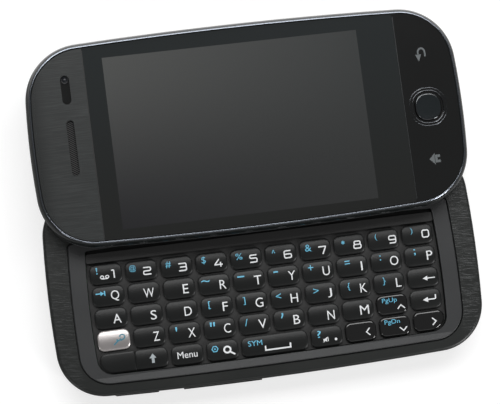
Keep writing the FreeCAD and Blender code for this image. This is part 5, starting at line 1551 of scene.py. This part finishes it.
@dataclass
class Keyboard:
    """The forty-eight keys with their lettering; a row and a column name the special ones."""

    rows: int = 5
    columns: int = 10
    pitch_x: float = 8.82
    pitch_y: float = 5.52
    cap_width: float = 8.0
    cap_depth: float = 5.02
    first_row_y: float = 3.54
    row_bow: float = 0.55
    corner: float = 1.6
    outer_corner: float = 3.4
    lift: float = 0.02
    silver_key: tuple[int, int] = (3, 0)
    stepped_key: tuple[int, int] = (4, 0)
    step_width: float = 8.75
    step_drop: float = 0.16
    step_overlap: float = 0.12
    step_corner: float = 0.3
    pillow_corners: tuple[float, float] = (0.5, 0.9)
    step_stem: float = 1.8
    step_stem_shift: float = 0.6
    stub: float = 0.01

    def cap(self, one: Key) -> KeyCap:
        """A key's cap; arrow keys have flatter crowns, and the lowest row has two wide corners.

        Args:
            one: the key.

        Returns:
            Its cap in place.
        """
        middle = (self.columns - 1) / 2
        x = ((one.first + one.last) / 2 - middle) * self.pitch_x
        bow = self.row_bow * (x / (middle * self.pitch_x)) ** 2
        y = self.first_row_y - one.row * self.pitch_y + bow
        width = self.cap_width + (one.last - one.first) * self.pitch_x
        lowest = one.row == self.rows - 1
        low_left = self.outer_corner if lowest and one.first == 0 else self.corner
        low_right = self.outer_corner if lowest and one.last == self.columns - 1 else self.corner
        cap = KeyCap(x, y, width, self.cap_depth, (low_left, low_right, self.corner, self.corner))
        if one.node == "arrow_keys":
            return replace(cap, across=0.1, along=0.04, rim=0.4, rim_width=0.55)
        return cap

    def stepped(self, cap: KeyCap) -> list[KeyCap]:
        """A wide cap in two parts that meet in a soft step: a low one and a full pillow.

        Args:
            cap: the whole cap.

        Returns:
            The left part and the right part.
        """
        low_left, low_right, high_right, high_left = cap.radii
        low_x = cap.x - cap.width / 2 + self.step_width / 2
        rest = cap.width - self.step_width + self.step_overlap
        low = replace(
            cap,
            x=low_x,
            width=self.step_width,
            radii=(low_left, self.step_corner, self.step_corner, high_left),
            stem_width=self.step_stem,
            stem_shift=cap.x - self.step_stem_shift - low_x,
            top=cap.top - self.step_drop,
            across=cap.across - self.step_drop,
        )
        high = replace(
            cap,
            x=cap.x + cap.width / 2 - rest / 2,
            width=rest,
            radii=(self.pillow_corners[0], low_right, high_right, self.pillow_corners[1]),
            stem_base=cap.base - self.stub,
        )
        return [low, high]

    def print_on(self, cap: KeyCap, x: float, mark: Mark, printer: Printer) -> Shape:
        """A mark laid on a cap: its flat points keep their place and take the cap's height.

        Args:
            cap: the cap that carries the mark.
            x: middle of the whole key, from which the mark's place counts.
            mark: the mark.
            printer: makes the flat shape.

        Returns:
            The mark in place.
        """
        flat = printer.flat(mark)
        points = flat.points + np.array([x + mark.x, cap.y + mark.y, 0.0])
        points[:, 2] = cap.height(points[:, :2]) + self.lift
        return Shape(points, flat.faces).painted(mark.colour.value)

    def build(self, printer: Printer) -> list[bpy.types.Object]:
        """Build and dress every key.

        Args:
            printer: makes the lettering.

        Returns:
            The caps and the lettering of each node.
        """
        pieces = []
        groups: dict[str, list[Key]] = {}
        for one in KEY_TABLE:
            groups.setdefault(one.node, []).append(one)
        for node, keys in groups.items():
            shapes, prints = [], []
            for one in keys:
                cap = self.cap(one)
                place = (one.row, one.first)
                parts = self.stepped(cap) if place == self.stepped_key else [cap]
                shapes += [part.shape().painted(int(place == self.silver_key)) for part in parts]
                prints += [self.print_on(parts[-1], cap.x, mark, printer) for mark in one.marks]
            satin = KEY_GLOSS if node == "arrow_keys" else KEY_SATIN
            finishes = [satin, KEY_SILVER] if node == "command_keys" else [satin]
            body = joined(shapes).piece(f"cap_{node}", finishes, crease=60.0)
            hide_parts(node)
            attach(body, node)
            inks = [WHITE_INK, BLUE_INK, SHIFT_INK, DEEP_INK]
            lettering = joined(prints).piece(f"print_{node}", inks)
            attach(lettering, node)
            pieces += [body, lettering]
        return pieces


# --- Display half ------------------------------------------------------------------------------
@dataclass
class Bezel:
    """The glossy ring around the display's front."""

    outline: BowedOutline = DISPLAY_OUTLINE
    seat: float = 13.2
    top: float = 15.9
    foot_inset: tuple[float, float] = (0.3, 0.1)
    foot_rise: tuple[float, float] = (0.25, 0.5)
    outer: float = 0.04
    slope_end: float = 0.95
    slope_steep: float = 72.0
    slope_soft: float = 42.0
    crest: float = 1.24
    lip: float = 0.04
    groove: float = 0.4
    groove_run: tuple[float, float, float] = (0.08, 0.3, 0.31)
    inner: float = 2.17
    ledge: float = 2.75
    ledge_top: float = 14.7
    flat: float = 15.7
    crest_rows: tuple[int, int] = (14, 20)
    flat_row: int = 24

    def profile(self) -> list[tuple[float, float]]:
        """Section from the seat: wall, slope, polished crest, groove, flat and ledge.

        The slope's angle falls evenly from steep to soft, so its height is the sum of the angle's
        tangents; the crest carries on as an arc until it is level.

        Returns:
            Points, each a distance inwards and a height.
        """
        run = np.linspace(self.outer, self.slope_end, 12)
        tangent = np.tan(np.radians(np.linspace(self.slope_steep, self.slope_soft, 12)))
        climb = np.cumsum((tangent[1:] + tangent[:-1]) / 2 * np.diff(run))
        turn = np.radians(np.linspace(self.slope_soft, 0, 7))
        radius = (self.crest - self.slope_end) / math.sin(turn[0])
        crest_run = self.crest - radius * np.sin(turn)
        crest_rise = self.top - radius * (1 - np.cos(turn))
        rise = crest_rise[0] - climb[-1] + np.concatenate([[0.0], climb])
        low, high = (self.seat + rise for rise in self.foot_rise)
        wall = [(self.foot_inset[0], self.seat), (self.foot_inset[1], low), (self.outer, high)]
        slope = list(zip(run.tolist(), rise.tolist()))
        crest = list(zip(crest_run.tolist(), crest_rise.tolist()))[1:]
        near, far, rim = (self.crest + run for run in self.groove_run)
        groove = [
            (self.crest + self.lip, self.top - self.lip),
            (near, self.top - self.groove),
            (far, self.top - self.groove),
            (rim, self.flat),
            (self.inner, self.flat),
        ]
        ledge = [
            (self.inner, self.ledge_top),
            (self.ledge, self.ledge_top),
            (self.ledge, self.seat),
        ]
        return [*wall, *slope, *crest, *groove, *ledge]

    def build(self) -> bpy.types.Object:
        """Carry the section along the outline.

        The flat between the groove and the panels takes the finish of the panel beside it, and
        the crest takes the polished line's.

        Returns:
            The ring.
        """
        profile = np.array(self.profile())
        rings = stacked(self.outline.rings(profile[:, 0]), profile[:, 1])
        shape = loft(rings, wrap=True)
        quads = shape.faces[0][1]
        x = shape.points[quads].mean(axis=1)[:, 0]
        row = np.arange(len(quads)) // rings.shape[1]
        beside = 1 + (x > -self.outline.seam) + (x > self.outline.seam)
        finishes = [BEZEL_GLOSS, PANEL_BRUSHED, GLASS, PANEL_GLOSS, TRIM_LINE]
        numbers = np.where(row == self.flat_row, beside, 0)
        crest = (row >= self.crest_rows[0]) & (row <= self.crest_rows[1])
        numbers[crest] = finishes.index(TRIM_LINE)
        shape.faces = [(number, quads[numbers == number]) for number in range(len(finishes))]
        ring = shape.piece("bezel_ring", finishes, crease=50.0)
        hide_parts("display_bezel")
        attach(ring, "display_half")
        return ring


@dataclass
class SelectButton:
    """The round-cornered button at the right and the bright ring around it.

    Both keep their flanges under the panel; above it they follow a rounder outline.
    """

    x: float = 45.6
    y: float = 35.53
    width: float = 6.65
    depth: float = 7.75
    corner: float = 2.9
    face_x: float = 45.33
    face_y: float = 35.33
    face_width: float = 6.6
    face_depth: float = 6.75
    face_corner: float = 2.85
    flange_base: float = 14.0
    flange_top: float = 14.4
    flange_inset: float = -0.9
    neck_top: float = 15.0
    rim_base: float = 15.5
    rim_width: float = 0.34
    cap_top: float = 15.86
    dish: tuple[float, float] = (0.4, 3.0)
    dish_depth: float = 0.03
    dish_width: float = 0.7
    rim_rows: tuple[tuple[int, int], ...] = ((4, 9),)
    ring_base: float = 14.45
    ring_flange_inset: float = -1.32
    ring_neck: float = -0.75
    ring_edge: float = -1.4
    ring_foot: float = -0.57
    ring_inner: float = -0.12
    ring_top: float = 15.8
    ring_inner_top: float = 15.3
    panel_base: float = 14.75
    panel_top: float = 15.7
    panel_gap: float = 0.005
    crests: tuple[float, float] = (-1.5, -0.82)
    crest_radius: float = 0.11
    crest_rise: float = 0.07
    crest_rows: tuple[tuple[int, int], ...] = ((5, 12), (14, 21))
    samples: int = 12

    def flange(self, insets: Sequence[float]) -> np.ndarray:
        """Rings of the flanges' outline, drawn in by several distances."""
        outline = RoundedRectangle(self.x, self.y, self.width, self.depth, (self.corner,) * 4)
        return outline.rings(insets, self.samples)

    def face(self, insets: Sequence[float]) -> np.ndarray:
        """Rings of the button's own outline, drawn in by several distances.

        Args:
            insets: distances inwards.

        Returns:
            Array of insets by points by two.
        """
        outline = RoundedRectangle(
            self.face_x, self.face_y, self.face_width, self.face_depth, (self.face_corner,) * 4
        )
        return outline.rings(insets, self.samples)

    def button(self) -> Shape:
        """The button: a flange, a neck, a polished rim and a shallow dish.

        The rim is a quarter ellipse that leaves the neck upright. The dish drops by a bell curve
        of the way inwards from the rim.

        Returns:
            The button, its rim in the second finish.
        """
        turn = np.linspace(0, math.pi / 2, 8)
        rim_run = self.rim_width * (1 - np.cos(turn))
        rim_rise = self.rim_base + (self.cap_top - self.rim_base) * np.sin(turn)
        dish_run = np.linspace(*self.dish, 12)
        bell = np.exp(-(((dish_run - self.rim_width) / self.dish_width) ** 2))
        run = np.concatenate([[0.0, 0.0], rim_run, dish_run])
        dish = self.cap_top - self.dish_depth * (1 - bell)
        rise = [self.flange_top, self.neck_top, *rim_rise, *dish]
        outlines = np.concatenate([self.flange([self.flange_inset] * 2), self.face(run)])
        rings = stacked(outlines, [self.flange_base, self.flange_top, *rise])
        shape = loft(rings, start_pole=True, end_pole=True)
        return self.polished(shape, rings.shape[1], self.rim_rows)

    def ring(self) -> Shape:
        """The ring: a neck in the panel's hole and a flat crown with a bright crest at each edge.

        A crest is most of a half ellipse, from 80 degrees before its summit to 80 beyond.

        Returns:
            The ring, its crests in the second finish.
        """
        turn = np.radians(np.linspace(-80, 80, 9))
        run = self.crest_radius * (1 + np.sin(turn))
        rise = self.ring_top - self.crest_rise * (1 - np.cos(turn))
        outer, inner = (list(zip(crest + run, rise)) for crest in self.crests)
        profile = np.array(
            [
                (self.ring_neck, self.panel_base),
                (self.ring_neck, self.panel_top + self.panel_gap),
                (self.ring_edge, self.panel_top + self.panel_gap),
                *outer,
                *inner,
                (self.ring_foot, self.ring_inner_top),
                (self.ring_inner, self.ring_inner_top),
                (self.ring_inner, self.ring_base),
            ]
        )
        flange = self.flange([self.ring_flange_inset] * 2)
        outlines = np.concatenate([flange, self.face(profile[:, 0])])
        rings = stacked(outlines, [self.ring_base, self.panel_base, *profile[:, 1]])
        return self.polished(loft(rings, wrap=True), rings.shape[1], self.crest_rows)

    @staticmethod
    def polished(shape: Shape, size: int, bands: Sequence[tuple[int, int]]) -> Shape:
        """Give bands of rows the second finish.

        Args:
            shape: a shape whose first faces are rows of quads.
            size: quads in a row.
            bands: first and last row of each band.

        Returns:
            The shape with its two finishes.
        """
        (_, quads), *others = shape.faces
        row = np.arange(len(quads)) // size
        bright = np.any([(row >= first) & (row <= last) for first, last in bands], axis=0)
        return Shape(shape.points, [(0, quads[~bright]), (1, quads[bright]), *others])

    def build(self) -> list[bpy.types.Object]:
        """Build the button and its ring.

        Returns:
            Both pieces.
        """
        button = self.button().piece("select_button", [BUTTON_GLOSS, RIM_CHROME], crease=50.0)
        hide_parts("ok_button")
        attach(button, "ok_button")
        ring = self.ring().piece("select_ring", [PANEL_GLOSS, RING_CHROME], crease=55.0)
        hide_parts("navigation_ring")
        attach(ring, "display_half")
        return [button, ring]


@dataclass
class SlotFill:
    """What shows inside the two slots of the earpiece panel."""

    ear_x: float = -43.9
    ear_y: float = 35.38
    ear_width: float = 1.9
    ear_length: float = 13.7
    sensor_x: float = -43.95
    sensor_y: float = 49.78
    sensor_width: float = 2.2
    sensor_length: float = 7.2
    cloth_height: float = 15.12
    weave: float = 0.42
    weave_depth: float = 0.05
    glass_height: float = 15.05
    glass_dish: float = 0.12
    lens_setback: float = 1.12
    lens_profile: tuple[tuple[float, float], ...] = (
        (0.86, -0.2),
        (0.86, 0.34),
        (0.8, 0.4),
        (0.7, 0.38),
        (0.62, 0.2),
        (0.56, 0.24),
        (0.4, 0.34),
        (0.2, 0.39),
    )

    @staticmethod
    def slot_grid(
        x: float, y: float, width: float, length: float, across: int, along: int
    ) -> tuple[np.ndarray, np.ndarray]:
        """A grid over a slot with round ends: each row is as wide as the slot is there.

        Args:
            x: middle.
            y: middle.
            width: the slot's width.
            length: the slot's length.
            across: points across.
            along: rows.

        Returns:
            X and Y of every grid point.
        """
        radius = width / 2
        row = np.linspace(-1, 1, along)[:, None] * length / 2
        past = np.maximum(np.abs(row) - (length / 2 - radius), 0)
        half = np.sqrt(np.maximum(radius**2 - past**2, 1e-4))
        grid_x = x + np.linspace(-1, 1, across) * half
        return grid_x, np.broadcast_to(y + row, grid_x.shape)

    def build(self) -> list[bpy.types.Object]:
        """Build the cloth, the sensor's dark glass and its lens.

        The cloth's height is the product of two sines, one across and one along, which gives a
        plain weave. The glass rises with the square of the way to its long sides. The lens is a
        section turned about its axis: a raised collar around a cap, by radius and by height
        above the glass.

        Returns:
            The three pieces.
        """
        x, y = self.slot_grid(self.ear_x, self.ear_y, self.ear_width, self.ear_length, 27, 180)
        phase = 2 * math.pi / self.weave
        weave = self.weave_depth * np.sin(x * phase) * np.sin(y * phase)
        cloth = sheet(x, y, self.cloth_height + weave)
        slot = (self.sensor_x, self.sensor_y, self.sensor_width, self.sensor_length)
        x, y = self.slot_grid(*slot, 15, 60)
        rise = self.glass_dish * ((x - self.sensor_x) / self.sensor_width * 2) ** 2
        glass = sheet(x, y, self.glass_height + rise)
        radius, height = np.array(self.lens_profile).T
        angle = np.linspace(0, 2 * math.pi, 32, endpoint=False)
        lens_y = self.sensor_y + self.sensor_length / 2 - self.lens_setback
        circles = np.array([self.sensor_x, lens_y]) + radius[:, None, None] * directions(angle)
        lens = loft(stacked(circles, self.glass_height + height), start_pole=True, end_pole=True)
        pieces = [
            cloth.piece("earpiece_cloth", [MESH_CLOTH], crease=180.0),
            glass.piece("sensor_glass", [PANEL_GLOSS], crease=180.0),
            lens.piece("sensor_lens", [LENS]),
        ]
        for piece in pieces:
            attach(piece, "display_half")
        return pieces


@dataclass
class SlideLinks:
    """The flat cable and the two wire springs between the halves."""

    base_y: float = 17.89
    display_y: float = 35.78
    middle_z: float = 9.625
    cable_low: float = 7.4
    cable_high: float = 11.6
    cable_bend: float = 0.6
    cable_width: float = 7.0
    cable_thickness: float = 0.16
    cable_rise: float = 0.2
    wire: float = 0.4
    leg: float = 15.0
    coil: float = 2.4
    loop: float = 0.75
    base_x: float = 20.0
    display_x: float = 6.0

    def cable(self) -> Shape:
        """The cable: a flat section carried up, along the gap between the halves, and up again.

        Each section stands square to the path's direction there. Between the halves the path
        rises a little, so that the cable can double back over itself.

        Returns:
            The cable.
        """
        share = np.linspace(0.0, 1.0, 48)
        run_y = self.base_y + share * (self.display_y - self.base_y)
        run_z = self.middle_z + (share - 0.5) * self.cable_rise
        low = [[self.base_y, self.cable_low], [self.base_y, self.middle_z - self.cable_bend]]
        high = [[self.display_y, self.middle_z + self.cable_bend], [self.display_y, self.cable_high]]
        path = np.vstack([low, np.stack([run_y, run_z], axis=-1), high])
        ahead = np.gradient(path, axis=0)
        ahead /= np.linalg.norm(ahead, axis=1, keepdims=True)
        side = np.array([1.0, -1.0, -1.0, 1.0]) * self.cable_width / 2
        face = np.array([1.0, 1.0, -1.0, -1.0]) * self.cable_thickness / 2
        rings = np.stack(
            [
                np.broadcast_to(side, (len(path), 4)),
                path[:, :1] + face * ahead[:, 1:],
                path[:, 1:] - face * ahead[:, :1],
            ],
            axis=-1,
        )
        return loft(rings, start_pole=True, end_pole=True)

    def tube(self, path: np.ndarray, closed: bool = False) -> Shape:
        """Round wire along a level path: a circle square to the path at every point.

        Args:
            path: array of points by two.
            closed: the path is a loop.

        Returns:
            The wire.
        """
        if closed:
            ahead = np.roll(path, -1, axis=0) - np.roll(path, 1, axis=0)
        else:
            ahead = np.gradient(path, axis=0)
        ahead /= np.linalg.norm(ahead, axis=1, keepdims=True)
        angle = np.linspace(0, 2 * math.pi, 10, endpoint=False)
        side = np.stack([-ahead[:, 1], ahead[:, 0]], axis=-1)
        across = path[:, None] + np.cos(angle)[:, None] * self.wire / 2 * side[:, None]
        height = np.broadcast_to(self.middle_z + np.sin(angle) * self.wire / 2, across.shape[:2])
        rings = np.concatenate([across, height[..., None]], axis=-1)
        return loft(rings, start_pole=not closed, end_pole=not closed, wrap=closed)

    def springs(self) -> Shape:
        """Both springs: a loop at each post, a coil out to the side, and the legs between them.

        Returns:
            Both springs as one shape.
        """
        parts = []
        for sign in (-1, 1):
            base = [sign * self.base_x, self.base_y]
            posts = np.array([base, [sign * self.display_x, self.display_y]])
            span = posts[1] - posts[0]
            length = float(np.linalg.norm(span))
            outward = np.array([span[1], -span[0]]) * sign / length
            middle = posts.mean(axis=0) + outward * math.sqrt(self.leg**2 - length**2 / 4)
            parts.append(self.tube(np.array(circle_points(*middle, self.coil, 0, 350, 36)), True))
            for post in posts:
                parts.append(self.tube(np.array(circle_points(*post, self.loop, 0, 345, 24)), True))
                way = (middle - post) / self.leg
                steps = np.linspace(self.loop, self.leg - self.coil, 24)
                parts.append(self.tube(post + steps[:, None] * way))
        return joined(parts)

    def build(self) -> list[bpy.types.Object]:
        """Build both; they reach from the keyboard half to the display half.

        Returns:
            Both pieces.
        """
        pieces = []
        for node, shape, finish, slot, margin in (
            ("flex_cable", self.cable(), CABLE, "cable_film", 0.3),
            ("assist_springs", self.springs(), STEEL, "steel", 1.0),
        ):
            piece = shape.piece(f"{node}_bending", [finish], crease=50.0)
            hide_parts(node)
            start = (0.0, (self.base_y + margin) * MM, 0.0)
            end = (0.0, (self.display_y - margin) * MM, 0.0)
            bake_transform(piece)
            pieces.append(piece)
        return pieces


@dataclass
class Seams:
    """The dark joint left of the glass and a thin painted highlight on the edge right of it."""

    outline: BowedOutline = DISPLAY_OUTLINE
    inset: float = 2.2
    nearby: float = 0.8
    height: float = 15.706
    rows: int = 40
    dark_x: float = -39.05
    dark_width: float = 0.3
    highlight_x: float = 39.25
    highlight_width: float = 0.14

    def strip(self, x: float, width: float) -> Shape:
        """A flat strip across the display at one X, as long as the panels are deep there.

        Args:
            x: the strip's middle.
            width: the strip's width.

        Returns:
            The strip, just above the glass.
        """
        ring = self.outline.rings([self.inset])[0]
        reach = ring[np.abs(ring[:, 0] - x) < self.nearby][:, 1]
        rows = np.linspace(reach.min(), reach.max(), self.rows)
        grid_x, grid_y = np.meshgrid([x - width / 2, x + width / 2], rows)
        return sheet(grid_x, grid_y, np.full_like(grid_x, self.height))

    def build(self) -> bpy.types.Object:
        """Lay both strips.

        Returns:
            The strips as one piece.
        """
        # painted highlight along the panel's edge right of the glass
        light = self.strip(self.highlight_x, self.highlight_width).painted(1)
        both = self.strip(self.dark_x, self.dark_width).with_shape(light)
        piece = both.piece("panel_seams", [SEAM_DARK, SEAM_PAINTED_HIGHLIGHT])
        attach(piece, "display_half")
        return piece


@dataclass
class PanelSigns:
    """The two touch signs printed on the gloss panel."""

    height: float = 15.7
    lift: float = 0.012
    marks: tuple[Mark, Mark] = (
        Mark("home", 45.2, 22.1, 2.8, 2.9),
        Mark("return", 45.15, 48.7, 2.7, 3.5),
    )

    def build(self, printer: Printer) -> bpy.types.Object:
        """Lay both signs flat on the panel.

        Args:
            printer: makes the flat shapes.

        Returns:
            The signs as one piece.
        """
        shapes = []
        for mark in self.marks:
            flat = printer.flat(mark)
            points = flat.points + np.array([mark.x, mark.y, self.height + self.lift])
            shapes.append(Shape(points, flat.faces))
        signs = joined(shapes).piece("panel_signs", [GREY_INK])
        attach(signs, "display_half")
        return signs


# --- Studio ------------------------------------------------------------------------------------
@dataclass(frozen=True)
class Lamp:
    """A rectangular soft lamp that faces the middle of the phone, in millimetres and watts."""

    name: str
    place: tuple[float, float, float]
    size: tuple[float, float]
    power: float
    target: tuple[float, float, float] = (0.0, 18.0, 10.0)

    def build(self) -> None:
        """Stand the lamp in its place and turn it to its target."""
        data = bpy.data.lights.new(self.name, "AREA")
        data.shape = "RECTANGLE"
        data.size, data.size_y = self.size[0] * MM, self.size[1] * MM
        data.energy = self.power
        lamp = bpy.data.objects.new(self.name, data)
        lamp.location = Vector(self.place) * MM
        aim = Vector(self.target) * MM - lamp.location
        lamp.rotation_euler = aim.to_track_quat("-Z", "Y").to_euler()
        bpy.context.scene.collection.objects.link(lamp)


LAMPS: tuple[Lamp, ...] = (
    Lamp("lamp_back", (40, 400, 620), (760, 320), 4.4),
    Lamp("lamp_behind", (0, 720, 130), (800, 220), 1.8),
    Lamp("lamp_front", (0, -560, 420), (500, 200), 0.25),
    Lamp("lamp_front_left", (-420, -400, 330), (120, 120), 0.3),
    Lamp("lamp_front_right", (420, -430, 360), (170, 170), 1.7),
)


@dataclass
class Studio:
    """White floor, soft lamps, a plain surround and the camera."""

    floor_radius: float = 1500.0
    floor_height: float = -0.1
    floor_tone: Colour = (0.42, 0.42, 0.42)
    floor_glow: float = 0.66
    mirror_edge: tuple[float, float] = (62.0, 68.0)
    camera_place: tuple[float, float, float] = (-44.099, -5.914, 382.726)
    camera_axes: tuple[tuple[float, float, float], ...] = (
        (0.98623, -0.12872, 0.10388),
        (0.12122, 0.98975, 0.07551),
        (-0.11253, -0.06188, 0.99172),
    )
    lens: float = 108.0
    sensor: float = 36.0
    side_glow: float = 0.12
    back_glow: float = 0.6
    front_glow: float = 0.2
    top_glow: float = 0.14
    side_to_end: tuple[float, float] = (0.25, 0.85)
    front_to_back: tuple[float, float] = (-0.1, 0.1)
    low_to_top: tuple[float, float] = (0.1, 0.95)

    def floor(self) -> None:
        """A wide disc that shows white and still takes a shadow; mirrors show it white far off."""
        angle = np.linspace(0, 2 * math.pi, 64, endpoint=False)
        disc = filled(directions(angle) * self.floor_radius)
        disc.points[:, 2] = self.floor_height
        piece = disc.piece("studio_floor", [])
        graph = Graph("studio_floor")
        seen = graph.add("ShaderNodeLightPath", output="Is Camera Ray")
        mirrored = graph.add("ShaderNodeLightPath", output="Is Glossy Ray")
        _, y, _ = graph.axes()
        strength = seen * self.floor_glow + mirrored * y.step(*self.mirror_edge)
        matt = graph.add("ShaderNodeBsdfDiffuse", {}, {"Color": self.floor_tone})
        glow = graph.add("ShaderNodeEmission", {}, {"Color": (1.0, 1.0, 1.0), "Strength": strength})
        both = graph.add("ShaderNodeAddShader", {}, {0: matt, 1: glow})
        graph.add("ShaderNodeOutputMaterial", {}, {"Surface": both})
        piece.data.materials.append(graph.owner)

    def surround(self) -> None:
        """A calm grey surround, lighter behind than in front, at the sides and overhead."""
        world = bpy.data.worlds.new("studio")
        bpy.context.scene.world = world
        graph = Graph("studio", world)
        direction = graph.add("ShaderNodeTexCoord", output="Generated")
        x, y, z = graph.split(direction)
        frontal = (y * y / (x * x + y * y + 0.001)).step(*self.side_to_end)
        back = y.step(*self.front_to_back)
        ends = self.front_glow + back * (self.back_glow - self.front_glow)
        low = self.side_glow + frontal * (ends - self.side_glow)
        height = z.step(*self.low_to_top)
        level = low + height * (self.top_glow - low)
        glow = graph.add("ShaderNodeBackground", {}, {"Color": (1.0, 1.0, 1.0), "Strength": level})
        graph.add("ShaderNodeOutputWorld", {}, {"Surface": glow})

    def camera(self) -> None:
        """A long lens high above the phone."""
        data = bpy.data.cameras.new("camera")
        data.lens = self.lens
        data.sensor_width = self.sensor
        data.clip_start = 0.01
        camera = bpy.data.objects.new("camera", data)
        turn = Matrix(self.camera_axes).transposed().to_4x4()
        camera.matrix_world = Matrix.Translation(Vector(self.camera_place) * MM) @ turn
        bpy.context.scene.collection.objects.link(camera)
        bpy.context.scene.camera = camera

    def build(self) -> None:
        """Set up the whole studio."""
        self.floor()
        self.surround()
        for lamp in LAMPS:
            lamp.build()
        self.camera()
        bpy.context.scene.view_settings.view_transform = "Standard"


# --- Assembly ----------------------------------------------------------------------------------
def dress_nodes(nodes: Mapping[str, bpy.types.Object]) -> None:
    """Give every carried-over CAD node its finish.

    Args:
        nodes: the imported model's objects by name.
    """
    for finish, names in NODE_FINISHES:
        for name in names:
            nodes[name].data.materials.clear()
            nodes[name].data.materials.append(finish.material())
            LOG.info("dressed %s", name)


def corners(box: tuple[Vector, Vector]) -> list[list[float]]:
    """Two corners as plain lists."""
    return [[float(number) for number in corner] for corner in box]


def main() -> None:
    """Load the frame, then build and dress the phone and its studio."""
    logging.basicConfig(level=logging.INFO, format="%(message)s")
    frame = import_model()
    dress_nodes(frame["nodes"])
    printer = Printer()
    pieces = Keyboard().build(printer)
    pieces.append(Bezel().build())
    pieces += SelectButton().build()
    pieces += SlotFill().build()
    pieces += SlideLinks().build()
    pieces.append(Seams().build())
    pieces.append(PanelSigns().build(printer))
    for piece in pieces:
        LOG.info("built %s", piece.name)
    Studio().build()


if __name__ == "__main__":
    main()
